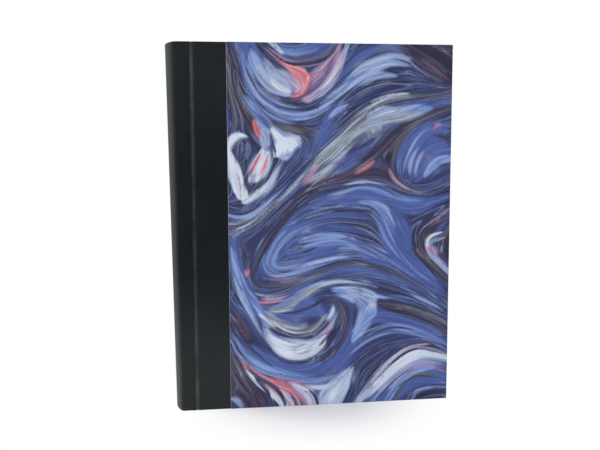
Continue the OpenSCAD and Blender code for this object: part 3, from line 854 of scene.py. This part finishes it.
GROUND = (
    (2, 32, 33, 62), (1, 54, 64, 116), (2, 38, 42, 82), (1, 70, 84, 138), (2, 46, 52, 100),
    (1, 28, 25, 48), (2, 56, 66, 118), (1, 80, 96, 148), (2, 38, 42, 84),
)
INKS = {
    "royal": (3.0, 2.4, (
        (1, 60, 74, 136), (2, 66, 85, 150), (1, 73, 94, 160), (2, 63, 80, 145), (1, 78, 101, 166),
        (2, 69, 89, 154), (1, 60, 74, 136), (2, 74, 96, 161),
    )),
    "plum": (1.8, 2.4, (
        (1, 48, 44, 80), (1, 50, 40, 62), (1, 34, 30, 54), (1, 76, 60, 84), (1, 40, 36, 66),
        (1, 62, 50, 72), (1, 30, 28, 50),
    )),
    "olive": (1.2, 2.2, (
        (1, 54, 54, 74), (1, 78, 80, 92), (0.7, 46, 42, 58), (1, 98, 100, 110), (1, 70, 68, 82),
        (0.7, 128, 130, 128), (1, 56, 52, 66), (1, 92, 92, 100),
    )),
    "sky": (1.1, 2.4, (
        (1, 84, 108, 174), (1.4, 108, 136, 198), (0.7, 150, 172, 216), (1.4, 116, 144, 202),
        (0.6, 84, 106, 170), (1.4, 134, 160, 212), (1, 160, 182, 222),
    )),
    "sage": (1.6, 3.2, (
        (1, 104, 118, 164), (1, 142, 156, 190), (0.6, 106, 108, 126), (1.2, 162, 176, 200),
        (0.6, 132, 134, 130), (1, 182, 191, 200), (0.6, 128, 142, 182), (1, 196, 201, 202),
    )),
    "pale": (1.4, 3.2, (
        (1, 108, 130, 186), (1.4, 142, 164, 208), (0.7, 182, 196, 224), (1, 128, 146, 190),
        (1.4, 160, 180, 216), (0.6, 146, 148, 178), (1.4, 184, 198, 226),
    )),
    "rose": (1.8, 3.2, (
        (1, 116, 104, 156), (1, 160, 134, 178), (0.7, 204, 140, 166), (1, 178, 158, 196),
        (0.7, 148, 144, 192), (1, 198, 172, 198), (0.7, 214, 196, 216),
    )),
    "white": (0.8, 2.2, (
        (1, 140, 162, 206), (1.2, 184, 200, 228), (0.6, 168, 178, 206), (1.6, 210, 220, 236),
        (0.6, 196, 194, 212), (1.4, 222, 229, 242),
    )),
    "coral": (1.0, 2.0, (
        (1, 136, 86, 112), (1.4, 206, 108, 118), (0.6, 222, 158, 168), (1.4, 218, 116, 122),
        (0.6, 160, 76, 96), (1.4, 226, 146, 150),
    )),
    "navy": (0.5, 1.6, (
        (1, 50, 48, 90), (1.4, 40, 36, 66), (0.5, 66, 66, 112), (1.4, 36, 32, 58),
    )),
}

# Thin threads of ink between the layers, in patches: where across the streaks, how strong and which colour
THREADS = (
    (0.18, 0.5, (40, 36, 64)), (0.3, 0.4, (150, 168, 208)), (0.44, 0.5, (38, 34, 62)),
    (0.56, 0.4, (168, 180, 208)), (0.68, 0.5, (46, 40, 66)), (0.8, 0.4, (140, 160, 206)),
    (0.9, 0.4, (120, 126, 140)),
)

# Finer threads, closer together
HAIRLINES = (
    (0.15, 0.5, (38, 34, 62)), (0.32, 0.35, (156, 172, 210)), (0.5, 0.5, (42, 38, 68)),
    (0.68, 0.35, (140, 150, 180)), (0.85, 0.5, (36, 32, 58)),
)


def ink_threads(s, colour, field, threads, flat, share, half_width, patch_scale, patch):
    """Lays threads of ink over a colour, along levels of a field and in patches."""
    for level, strength, rgb in threads:
        near = s.step(s.absolute(s.minus(field, level)), half_width, 0.0)
        shown = s.times(s.step(s.noise(flat, patch_scale + 0.01 * level, 2), *patch), share)
        colour = s.mix(s.times(s.times(near, shown), strength), colour, linear(*rgb))
    return colour


def dark_specks(s, colour, flat):
    """Scatters small specks over a colour, in some of the cells of an uneven grid."""
    cells = s.node("ShaderNodeTexVoronoi", {"Vector": flat, "Scale": 0.11})
    chosen = s.step(s.node("ShaderNodeSeparateColor", {0: cells.outputs["Color"]}).outputs[0], 0.62, 0.64)
    speck = s.times(s.step(cells.outputs["Distance"], 0.085, 0.05), chosen)
    return s.mix(s.times(speck, 0.75), colour, linear(40, 28, 52))


# How far an ink's edge wanders and how far in its last layer starts, in millimetres
RAGGED = 1.2
DEEP = 6.0


def marbled_paper():
    """Inks that run into each other in drawn-out layers, with specks and a paler cut edge."""
    s = Shader("marbled_paper")
    flat = s.uv()
    grain = s.value("grain")
    band = s.value("band")
    hair = s.value("hair")
    wander = s.times(s.minus(s.noise(flat, 0.8, 3, 0.6), 0.5), RAGGED)
    lines = s.total((hair, 0.5), (band, 0.5))
    tone = s.total((grain, 0.15), (lines, 0.85))
    colour = s.layers(tone, GROUND)
    for ink, (soft, feather, layers) in INKS.items():
        streaks = s.times(s.minus(lines, 0.5), feather)
        combed = s.times(s.minus(grain, 0.5), feather * 0.5)
        edge = s.plus(s.plus(s.value(ink), s.plus(streaks, combed)), wander)
        inside = s.step(edge, -soft, soft)
        depth = s.step(edge, -0.5, DEEP)
        colour = s.mix(inside, colour, s.layers(s.total((depth, 0.2), (tone, 0.8)), layers))
    # The broad fields of royal stay calmer than the rest
    busy = s.plus(0.3, s.times(s.step(s.value("royal"), 4.0, 0.5), 0.7))
    colour = ink_threads(s, colour, band, THREADS, flat, busy, 0.05, 0.03, (0.42, 0.6))
    colour = ink_threads(s, colour, hair, HAIRLINES, flat, busy, 0.06, 0.035, (0.4, 0.56))
    colour = dark_specks(s, colour, flat)
    fibre = s.noise(flat, 2.5, 3, 0.6)
    colour = s.mix(s.times(fibre, 0.06), colour, linear(170, 176, 196))
    colour = s.mix(s.step(s.value("cut"), 0.16, 0.04), colour, linear(190, 192, 200))
    roughness = s.node("ShaderNodeMapRange", {"Value": fibre, "To Min": 0.45, "To Max": 0.6}).outputs[0]
    normal = s.bump(s.noise(flat, 4.0, 3, 0.6), 0.02, 0.5)
    return s.finish(colour, roughness, normal, 0.12)


# The cloth

# How far the back leans out at the head, how far its rounded ends drop, and where the lean starts
# on the far side of the shoulder
LEAN = 1.45
CAP_DROP = 0.9
LEAN_MARGIN = 2


def lean(points):
    """Leans the back as the real one does: further out at the head than at the tail, with rounded ends."""
    still_x = SHOULDER_X + LEAN_MARGIN
    share = smooth(np.clip((still_x - points[:, 0]) / (still_x - BACK_X), 0, 1))
    height = points[:, 2] / BOOK_H * 2 - 1
    moved = points.copy()
    moved[:, 0] -= LEAN * height * share
    moved[:, 2] -= CAP_DROP * share ** 2 * np.sign(height) * np.abs(height) ** 12
    return moved


# How far the cloth runs under the paper, the reach of the groove's dip, how far from the hinge the
# fold is pressed flat and over how much it gets its depth back, the radius of a fold, the room left
# between the cloth and what it covers, and the gap between the rows of its mesh
UNDER_PAPER = 2
DIP_REACH = 1.25
GROOVE_FLAT = 1.6
GROOVE_RISE = 1.2
FOLD_R = 0.8
CLOTH_ROOM = 0.03
ROW_GAP = 2.0


def cloth_profile():
    """The outside of the front half of the cloth in plan, from mid-spine to under the paper."""
    reach = math.asin(SHOULDER_Y / (BACK_R - SHOULDER_R))
    angles = np.linspace(0, reach, 26)
    arc = np.stack([BACK_CENTRE_X - BACK_R * np.cos(angles), -BACK_R * np.sin(angles)], axis=1)
    turns = np.linspace(reach, math.pi / 2, 12)[1:]
    turn_x = SHOULDER_X - SHOULDER_R * np.cos(turns)
    turn = np.stack([turn_x, -SHOULDER_Y - SHOULDER_R * np.sin(turns)], axis=1)
    strip = even(SHOULDER_X, SPINE_EDGE_X, 1.0)[1:-1]
    valley = even(SPINE_EDGE_X, BOARD_EDGE_X, 0.16)
    side = even(BOARD_EDGE_X, PAPER_X + UNDER_PAPER, 1.2)[1:]
    x = np.concatenate([strip, valley, side])
    dip = GROOVE_D * np.exp(-((x - HINGE_X) / DIP_REACH) ** 2)
    flat = np.stack([x, dip - CLOTH_Y], axis=1)
    return np.concatenate([arc, turn, flat])


def fold_depth(x):
    """How deep the turned-in cloth lies: behind inlay or board, and pressed flat in the groove."""
    behind = np.where(x < HINGE_X, 2 * CLOTH_T + INLAY_T, CLOTH_Y - INNER_Y)
    share = smooth(np.clip((np.abs(x - HINGE_X) - GROOVE_FLAT) / GROOVE_RISE, 0, 1))
    return 2 * CLOTH_T + (behind - 2 * CLOTH_T) * share


def fold(kind, value, depth):
    """How deep a row of a fold lies, how far from the book's end, and how far along the flat cloth."""
    radius = np.minimum(FOLD_R, depth / 2)
    rise = radius * (1 - math.cos(value))
    run = radius * (1 - math.sin(value))
    if kind == "out":
        return rise, run, radius * value
    if kind == "in":
        return depth - run, rise, depth + radius * value
    return depth, depth * 0 + value, depth + value


def half_cloth(name, material, back):
    """Half of the cloth: over the spine and a board's edge, folded in at head and tail."""
    profile = cloth_profile()
    along = np.gradient(profile, axis=0)
    along /= np.linalg.norm(along, axis=1, keepdims=True)
    inward = np.stack([-along[:, 1], along[:, 0]], axis=1)
    inward[0] = (1, 0)
    x = profile[:, 0]
    depth = fold_depth(x)
    length = np.concatenate([[0], np.cumsum(np.linalg.norm(np.diff(profile, axis=0), axis=1))])

    # The rows of a fold: round the outer edge, round the inner edge and down the flap
    quarter = np.linspace(0, math.pi / 2, 7)
    rows = [("out", angle) for angle in quarter] + [("in", angle) for angle in quarter]
    rows += [("flap", 4.0), ("flap", TURN_IN)]
    layers = []
    for kind, value in rows[::-1]:
        deep, below, flat = fold(kind, value, depth)
        layers.append((deep, below, -flat))
    for height in even(ROW_GAP, BOOK_H - ROW_GAP, ROW_GAP):
        layers.append((depth * 0, depth * 0 + height, depth * 0 + height))
    for kind, value in rows:
        deep, below, flat = fold(kind, value, depth)
        layers.append((deep, BOOK_H - below, BOOK_H + flat))

    points, u, v = [], [], []
    for deep, height, flat in layers:
        ring = profile + inward * deep[:, None]
        points.append(np.stack([ring[:, 0], ring[:, 1], height], axis=1))
        u.append(length)
        v.append(flat)
    points = lean(np.concatenate(points))
    if back:
        points[:, 1] *= -1
    obj = make_object(name, points, quads(len(layers), len(profile), 0, back), material)
    give_uv(obj, np.concatenate(u), np.concatenate(v))
    give_values(obj, "groove", np.tile(x - HINGE_X, len(layers)))
    give_values(obj, "height", points[:, 2])
    thicken(obj, CLOTH_T - CLOTH_ROOM)
    # No fold reaches past the head or the tail
    for vertex in obj.data.vertices:
        vertex.co.z = min(max(vertex.co.z, 0), BOOK_H * MM)
    return obj


def thicken(obj, thickness):
    """Gives a sheet its thickness on the inner side."""
    modifier = obj.modifiers.new("thickness", "SOLIDIFY")
    modifier.thickness = thickness * MM
    modifier.offset = -1
    applied(obj)


def applied(obj):
    """Turns an object's modifiers into plain mesh."""
    graph = bpy.context.evaluated_depsgraph_get()
    mesh = bpy.data.meshes.new_from_object(obj.evaluated_get(graph))
    obj.modifiers.clear()
    obj.data = mesh
    return obj


WEAVE_PITCH = 0.55


def book_cloth():
    """Near-black cloth with a fine plain weave, a painted highlight along the groove, and painted light
    that makes it paler towards the ends, most at the tail.
    """
    s = Shader("book_cloth")
    flat = s.uv()
    split = s.node("ShaderNodeSeparateXYZ", {0: flat}).outputs
    turn = 2 * math.pi / WEAVE_PITCH
    wobble = s.times(s.minus(s.noise(flat, 0.7, 2), 0.5), 1.6)
    across = s.plus(s.times(split[0], turn), wobble)
    up = s.plus(s.times(split[1], turn), wobble)
    warp = s.absolute(s.math("SINE", across))
    weft = s.absolute(s.math("SINE", up))
    crossing = s.times(s.math("SINE", s.times(across, 0.5)), s.math("SINE", s.times(up, 0.5)))
    over = s.step(crossing, -0.2, 0.2)
    weave = s.plus(s.times(warp, over), s.times(weft, s.minus(1.0, over)))
    slub = s.noise(s.stretch(flat, 1.2, 0.12, 1.0), 1.0, 3, 0.6)
    cloud = s.noise(flat, 0.02, 3, 0.6)
    shade = s.plus(s.times(weave, 0.35), s.total((slub, 0.35), (cloud, 0.4)))
    colour = s.ramp(shade, (0.2, linear(3, 9, 12)), (0.55, linear(8, 15, 18)), (0.9, linear(21, 29, 32)))

    # Painted light: the cloth is mixed to a paler grey towards the tail, and a little towards the head,
    # standing in for light thrown up from the floor
    height = s.value("height")
    tail_painted_light = s.step(height, 110.0, 10.0)
    head_painted_light = s.times(s.step(height, 150.0, 248.0), 0.4)
    end_painted_light = s.times(s.plus(tail_painted_light, head_painted_light), s.plus(0.45, s.times(cloud, 0.5)))
    colour = s.mix(end_painted_light, colour, linear(46, 50, 51))

    # Painted highlight: a pale line along the groove, stronger towards the ends and in patches, standing in
    # for light caught on the groove's slope
    groove = s.absolute(s.value("groove"))
    end = s.absolute(s.minus(s.math("DIVIDE", height, BOOK_H), 0.5))
    highlight_strength = s.plus(0.5, s.times(s.step(end, 0.1, 0.5), 0.5))
    highlight_strength = s.times(highlight_strength, s.step(s.noise(flat, 0.05, 3, 0.7), 0.1, 0.7))
    groove_painted_highlight = s.times(s.step(groove, 1.8, 0.2), highlight_strength)
    colour = s.mix(s.times(groove_painted_highlight, 0.5), colour, linear(104, 108, 108))
    feed(s.tree, s.surface, {"Sheen Weight": 0.12, "Sheen Roughness": 0.35})
    normal = s.bump(s.plus(weave, s.times(slub, 0.6)), 0.05, 0.5)
    return s.finish(colour, 0.7, normal, 0.13)


# Pages, endpapers and the layers behind the spine

# Leaves that show and how many make a section, and how unevenly leaves and sections end, in millimetres
LEAVES = 100
SECTION = 8
LEAF_UNEVEN = 0.09
SECTION_UNEVEN = 0.08
LEAF_NOTCH = 0.07
FORE_HOLLOW = 2.4
PAGES_Y = -flyleaf_high[1]
SWOLLEN_Y = -pages_low[1]


def back_place(depth, y):
    """How far along X the back lies at a distance from the middle plane, a depth below the cloth's face."""
    arc = BACK_R - depth
    turn = SHOULDER_R - depth
    if y <= SHOULDER_Y * arc / (BACK_R - SHOULDER_R):
        return BACK_CENTRE_X - math.sqrt(arc ** 2 - y ** 2)
    return SHOULDER_X - math.sqrt(max(0, turn ** 2 - (y - SHOULDER_Y) ** 2))


def page_block(material):
    """The pages as one block whose edges show the single leaves."""
    depth = pages_low[0] - BACK_X
    hollow_r = (PAGES_Y ** 2 + FORE_HOLLOW ** 2) / (2 * FORE_HOLLOW)
    leaf_y = np.linspace(-PAGES_Y, PAGES_Y, 2 * LEAVES + 1)
    leaf = np.arange(len(leaf_y)) // 2
    section = leaf // SECTION
    uneven = chance.uniform(0, LEAF_UNEVEN, LEAVES + 1)[leaf]
    uneven += chance.uniform(0, SECTION_UNEVEN, LEAVES)[section]
    uneven += np.where(np.arange(len(leaf_y)) % 2 == 0, LEAF_NOTCH, 0)
    shoulder = np.linspace(PAGES_Y + 0.01, SWOLLEN_Y, 3)
    y_all = np.concatenate([-shoulder[::-1], leaf_y, shoulder])
    uneven = np.concatenate([np.zeros(3), uneven, np.zeros(3)])
    share = np.linspace(0, 1, 28)
    side = np.linspace(0, 1, 36)
    points = []
    for y, gap in zip(y_all, uneven):
        back = back_place(depth, abs(y))
        if abs(y) > PAGES_Y:
            fore = SPINE_EDGE_X + SWOLLEN_Y - abs(y)
        else:
            fore = pages_high[0] - FORE_HOLLOW + hollow_r - math.sqrt(hollow_r ** 2 - y ** 2) - gap
        low = pages_low[2] + gap
        high = pages_high[2] - gap
        ring = [(back + (fore - back) * t, y, low) for t in share]
        ring += [(fore, y, low + (high - low) * t) for t in side[1:]]
        ring += [(fore + (back - fore) * t, y, high) for t in share[1:]]
        ring += [(back, y, high + (low - high) * t) for t in side[1:-1]]
        points.append(ring)
    points = np.array(points)
    count, ring = points.shape[:2]
    faces = []
    index = np.arange(count * ring).reshape(count, ring)
    closed = np.concatenate([index, index[:, :1]], axis=1)
    walls = np.stack([closed[:-1, :-1], closed[:-1, 1:], closed[1:, 1:], closed[1:, :-1]], axis=-1)
    faces += walls.reshape(-1, 4)[:, ::-1].tolist()
    faces.append(index[0].tolist())
    faces.append(index[-1][::-1].tolist())
    return make_object("page_block", lean(points.reshape(-1, 3)), faces, material, 30)


def page_paper():
    """Cream leaves, with the thin shadows between them on the edges of the block."""
    s = Shader("page_paper")
    place = s.place()
    leaves = s.noise(s.stretch(place, 0.01, 6.0, 0.01), 1.0, 3, 0.7)
    patch = s.noise(s.stretch(place, 0.03, 0.6, 0.03), 1.0, 2, 0.5)
    shade = s.total((leaves, 0.7), (patch, 0.3))
    shadow, leaf, light = linear(196, 190, 176), linear(226, 221, 208), linear(240, 236, 226)
    colour = s.ramp(shade, (0.25, shadow), (0.45, leaf), (0.7, light))
    return s.finish(colour, 0.85, s.bump(leaves, 0.05, 0.5), 0.2)


def plain_paper():
    """Smooth white endpaper with a faint fibre."""
    s = Shader("endpaper")
    place = s.place()
    cloud = s.noise(place, 0.35, 4, 0.7)
    fibre = s.noise(place, 3.0, 3, 0.6)
    shade = s.total((cloud, 0.5), (fibre, 0.5))
    colour = s.ramp(shade, (0.3, linear(226, 223, 214)), (0.7, linear(240, 238, 231)))
    return s.finish(colour, 0.8, s.bump(fibre, 0.02, 0.4), 0.25)


def inner_joint(name, material, back):
    """The strip of folded endpaper in a hinge, from the flyleaf round to the pastedown."""
    fold_x = HINGE_X + 0.25
    start_y = flyleaf_low[1] - 0.006
    end_y = pastedown_high[1] + 0.006
    lap = 1.5
    path = [(fold_x + lap, start_y), (fold_x + lap / 2, start_y)]
    path += [(fold_x, y) for y in np.linspace(start_y, end_y, 26)]
    path += [(fold_x + lap / 2, end_y), (fold_x + lap, end_y)]
    heights = even(SQUARE, BOOK_H - SQUARE, 8.0)
    points = np.array([[(x, y, z) for z in heights] for x, y in path]).reshape(-1, 3)
    sign = -1 if back else 1
    points[:, 1] *= sign
    obj = make_object(name, points, quads(len(path), len(heights), 0, back), material, 180)
    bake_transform(obj)
    return obj


def grey_card():
    """Grey board, with flecks of its recycled fibre."""
    s = Shader("grey_board")
    place = s.place()
    fleck = s.noise(place, 2.2, 4, 0.75)
    dark, middle, light = linear(104, 100, 92), linear(142, 137, 127), linear(164, 159, 148)
    colour = s.ramp(fleck, (0.3, dark), (0.55, middle), (0.8, light))
    return s.finish(colour, 0.9, s.bump(fleck, 0.1, 0.5), 0.15)


def lining_paper():
    """Brown lining paper with straight laid lines."""
    s = Shader("lining_paper")
    place = s.place()
    laid = s.noise(s.stretch(place, 0.4, 0.4, 6.0), 1.0, 2, 0.6)
    colour = s.ramp(laid, (0.3, linear(158, 130, 96)), (0.7, linear(186, 158, 122)))
    return s.finish(colour, 0.85, s.bump(laid, 0.05, 0.4), 0.2)


def open_gauze():
    """Coarse white gauze: an open grid of threads."""
    s = Shader("gauze")
    place = s.node("ShaderNodeSeparateXYZ", {0: s.place()})
    pitch = 1.1
    up = s.absolute(s.math("SINE", s.times(place.outputs[2], math.pi / pitch)))
    across = s.absolute(s.math("SINE", s.times(place.outputs[1], math.pi / pitch)))
    thread = s.math("MAXIMUM", s.step(up, 0.75, 0.9), s.step(across, 0.75, 0.9))
    colour = s.mix(thread, linear(176, 168, 150), linear(228, 224, 214))
    return s.finish(colour, 0.9, s.bump(thread, 0.15, 0.7), 0.15)


# Headbands: thread wound over a cord, drawn by a geometry tree

def headband_tree(material):
    """Sets beads of thread side by side along a line, and numbers them in fours for their colours."""
    tree = bpy.data.node_groups.new("headband", "GeometryNodeTree")
    inlets = {}
    kinds = {"Geometry": "Geometry", "Threads": "Int", "Radius": "Float", "Width": "Float"}
    for name, kind in kinds.items():
        inlet = tree.interface.new_socket(name, in_out="INPUT", socket_type="NodeSocket" + kind)
        inlets[name] = inlet.identifier
    tree.interface.new_socket("Geometry", in_out="OUTPUT", socket_type="NodeSocketGeometry")
    entry = add_node(tree, "NodeGroupInput").outputs
    curve = add_node(tree, "GeometryNodeMeshToCurve", {0: entry["Geometry"]}).outputs[0]
    inputs = {"Curve": curve, "Count": entry["Threads"]}
    seats = add_node(tree, "GeometryNodeCurveToPoints", inputs, mode="COUNT").outputs
    index = add_node(tree, "GeometryNodeInputIndex").outputs[0]
    turn = add_node(tree, "ShaderNodeMath", {0: index, 1: 4.0}, operation="MODULO").outputs[0]
    inputs = {"Geometry": seats["Points"], "Name": "thread", "Value": turn}
    settings = {"data_type": "FLOAT", "domain": "POINT"}
    numbered = add_node(tree, "GeometryNodeStoreNamedAttribute", inputs, **settings).outputs[0]
    inputs = {"Segments": 10, "Rings": 8, "Radius": 1.0}
    bead = add_node(tree, "GeometryNodeMeshUVSphere", inputs).outputs["Mesh"]
    inputs = {0: entry["Radius"], 1: entry["Radius"], 2: entry["Width"]}
    scale = add_node(tree, "ShaderNodeCombineXYZ", inputs).outputs[0]
    inputs = {"Points": numbered, "Instance": bead, "Rotation": seats["Rotation"], "Scale": scale}
    geometry = add_node(tree, "GeometryNodeInstanceOnPoints", inputs).outputs[0]
    for kind in ("GeometryNodeRealizeInstances", "GeometryNodeSetShadeSmooth"):
        geometry = add_node(tree, kind, {0: geometry}).outputs[0]
    inputs = {"Geometry": geometry, "Material": material}
    geometry = add_node(tree, "GeometryNodeSetMaterial", inputs).outputs[0]
    add_node(tree, "NodeGroupOutput", {0: geometry})
    return tree, inlets


# The radius of a wound band, the pitch and half width of its threads, and how far it sits in from its solid
BAND_R = 0.85
THREAD_PITCH = 0.34
THREAD_HALF = 0.24
BAND_INSET = 1.0
BAND_SINK = 0.2


def headband(name, node, tree, sockets, top):
    """A band along the back edge of the pages at the head or tail."""
    low, high = box_mm(node)
    seat = BACK_CENTRE_X - low[0] - BAND_INSET
    reach = math.asin(min(1, (high[1] - BAND_INSET) / seat))
    angles = np.linspace(-reach, reach, 60)
    lift = BAND_R - BAND_SINK
    z = low[2] + lift if top else high[2] - lift
    points = np.array([(BACK_CENTRE_X - seat * math.cos(a), seat * math.sin(a), z) for a in angles])
    mesh = bpy.data.meshes.new(name)
    mesh.from_pydata((lean(points) * MM).tolist(), [(i, i + 1) for i in range(len(points) - 1)], [])
    obj = link(bpy.data.objects.new(name, mesh))
    modifier = obj.modifiers.new("threads", "NODES")
    modifier.node_group = tree
    length = 2 * reach * seat
    modifier[sockets["Threads"]] = int(length / THREAD_PITCH)
    modifier[sockets["Radius"]] = BAND_R * MM
    modifier[sockets["Width"]] = THREAD_HALF * MM
    applied(obj)
    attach(obj, "text_block")
    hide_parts(node)
    return obj


def band_thread():
    """Silky thread, two turns of navy and then two of cream."""
    s = Shader("band_thread")
    turn = s.step(s.value("thread"), 1.4, 1.6)
    ply = s.noise(s.place(), 5.0, 2, 0.5)
    navy = s.ramp(ply, (0.3, linear(30, 34, 74)), (0.7, linear(52, 60, 112)))
    cream = s.ramp(ply, (0.3, linear(206, 200, 184)), (0.7, linear(234, 229, 216)))
    return s.finish(s.mix(turn, navy, cream), 0.45, s.bump(ply, 0.05, 0.5), 0.5)


# The book

lattice, marbling_values = marbling()
paper = marbled_paper()
cloth = book_cloth()
white_paper = plain_paper()

# The inks that the solid model has as layers of their own
SOLID_INKS = ("royal", "olive", "pale", "white", "coral")

for side, is_back in (("front", False), ("back", True)):
    cover = side + "_cover"
    sheet = paper_sheet(side + "_marbled_sheet", lattice, marbling_values, paper, is_back)
    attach(sheet, cover)
    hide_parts(side + "_paper", *[side + "_ink_" + ink for ink in SOLID_INKS])

    covering = half_cloth(side + "_half_cloth", cloth, is_back)
    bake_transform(covering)
    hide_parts(side + "_cloth")
    if not is_back:
        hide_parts("spine_cloth")
    inner_joint(side + "_inner_joint", white_paper, is_back)

block = page_block(page_paper())
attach(block, "text_block")
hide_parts("pages")

band_tree, band_sockets = headband_tree(band_thread())
headband("head_band_threads", "head_band", band_tree, band_sockets, True)
headband("tail_band_threads", "tail_band", band_tree, band_sockets, False)

card = grey_card()
layers = {
    "spine_inlay": (card, "grey_board"),
    "spine_lining": (lining_paper(), "lining_paper"),
    "gauze": (open_gauze(), "gauze"),
}
for node, (material, slot) in layers.items():
    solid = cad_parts[node].data
    corners = np.array([vertex.co for vertex in solid.vertices]) / MM
    faces = [tuple(face.vertices) for face in solid.polygons]
    layer = make_object("leaning_" + node, lean(corners), faces, material, 30)
    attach(layer, "text_block")
    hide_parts(node)

plain = {
    "board": (card, "grey_board"),
    "flyleaf": (white_paper, "endpaper"),
    "pastedown": (white_paper, "endpaper"),
}
for side in ("front_", "back_"):
    for part, (material, slot) in plain.items():
        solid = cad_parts[side + part]
        solid.data.materials.clear()
        solid.data.materials.append(material)


# Camera, floor and light

def look_at(yaw, pitch, roll):
    """The camera's turn, from degrees to the right of +Y, above the horizon and clockwise."""
    yaw, pitch, roll = (math.radians(angle) for angle in (yaw, pitch, roll))
    forward = Vector((math.sin(yaw) * math.cos(pitch), math.cos(yaw) * math.cos(pitch), math.sin(pitch)))
    right = Vector((math.cos(yaw), -math.sin(yaw), 0))
    up = right.cross(forward)
    turned_right = right * math.cos(roll) + up * math.sin(roll)
    turned_up = up * math.cos(roll) - right * math.sin(roll)
    return Matrix((turned_right, turned_up, -forward)).transposed()


# The camera that fits the photo: its place in metres, its turn in degrees, and its focal length in pixels
CAMERA_PLACE = (-0.0765, -0.512, 0.184)
CAMERA_TURN = (7.62, -6.45, -0.19)
FOCAL_PIXELS = 751
PICTURE_W = 600

camera_data = bpy.data.cameras.new("camera")
camera_data.sensor_width = 36
camera_data.lens = camera_data.sensor_width * FOCAL_PIXELS / PICTURE_W
camera_data.clip_start = 0.01
camera_data.clip_end = 50
camera = link(bpy.data.objects.new("camera", camera_data))
camera.matrix_world = Matrix.Translation(CAMERA_PLACE) @ look_at(*CAMERA_TURN).to_4x4()
bpy.context.scene.camera = camera


def pale_floor():
    """A pale floor that keeps the shadow near the book and runs into the white backdrop."""
    s = Shader("floor")
    s.finish(linear(246, 246, 246), 0.9, None, 0.1)
    glow = s.node("ShaderNodeEmission", {"Color": (1, 1, 1, 1), "Strength": 1.0})
    distance = s.node("ShaderNodeVectorMath", {0: s.place()}, operation="LENGTH").outputs["Value"]
    far = s.step(distance, 10.0, 95.0)
    path = s.node("ShaderNodeLightPath")
    seen = s.math("MAXIMUM", path.outputs["Is Camera Ray"], path.outputs["Is Glossy Ray"])
    inputs = {0: s.times(far, seen), 1: s.surface.outputs[0], 2: glow.outputs[0]}
    shown = s.node("ShaderNodeMixShader", inputs).outputs[0]
    s.tree.links.new(shown, s.tree.nodes["Material Output"].inputs[0])
    return s.material


# Half the width of the floor, in millimetres
FLOOR_HALF = 4000
corners = [(x * FLOOR_HALF, y * FLOOR_HALF, 0) for x, y in ((-1, -1), (1, -1), (1, 1), (-1, 1))]
floor = make_object("floor", corners, [(0, 1, 2, 3)], pale_floor())


def soft_light(name, place, target, size, power):
    """A soft square lamp that faces a target."""
    data = bpy.data.lights.new(name, "AREA")
    data.size = size
    data.energy = power
    lamp = link(bpy.data.objects.new(name, data))
    lamp.location = place
    lamp.rotation_mode = "QUATERNION"
    lamp.rotation_quaternion = (Vector(target) - Vector(place)).to_track_quat("-Z", "Y")
    return lamp


# Each lamp's name, place, target and side in metres, and its power in watts
LAMPS = (
    ("key", (-0.5, -1.4, 0.15), (0, 0, 0.13), 0.9, 5),
    ("fill", (0.2, -0.8, 0.05), (-0.05, 0, 0.05), 0.5, 1.2),
    ("bounce", (-0.06, -0.24, 0.006), (-0.06, 0, 0.05), 0.12, 0.05),
    ("rim", (-1.0, 0.1, 0.1), (-0.09, 0, 0.12), 0.6, 22),
    ("top", (0.1, 0.0, 1.2), (0, -0.1, 0), 1.2, 5),
)
for lamp in LAMPS:
    soft_light(*lamp)

# The backdrop is white where it is seen and dimmer where it lights the book
world = bpy.data.worlds.new("studio")
bpy.context.scene.world = world
world.use_nodes = True
sky = world.node_tree
path = add_node(sky, "ShaderNodeLightPath").outputs
inputs = {0: path["Is Camera Ray"], 1: path["Is Transmission Ray"]}
seen = add_node(sky, "ShaderNodeMath", inputs, operation="MAXIMUM").outputs[0]
strength = add_node(sky, "ShaderNodeMapRange", {"Value": seen, "To Min": 0.45, "To Max": 1.0}).outputs[0]
feed(sky, sky.nodes["Background"], {"Color": (1, 1, 1, 1), "Strength": strength})

bpy.context.scene.view_settings.view_transform = "Standard"
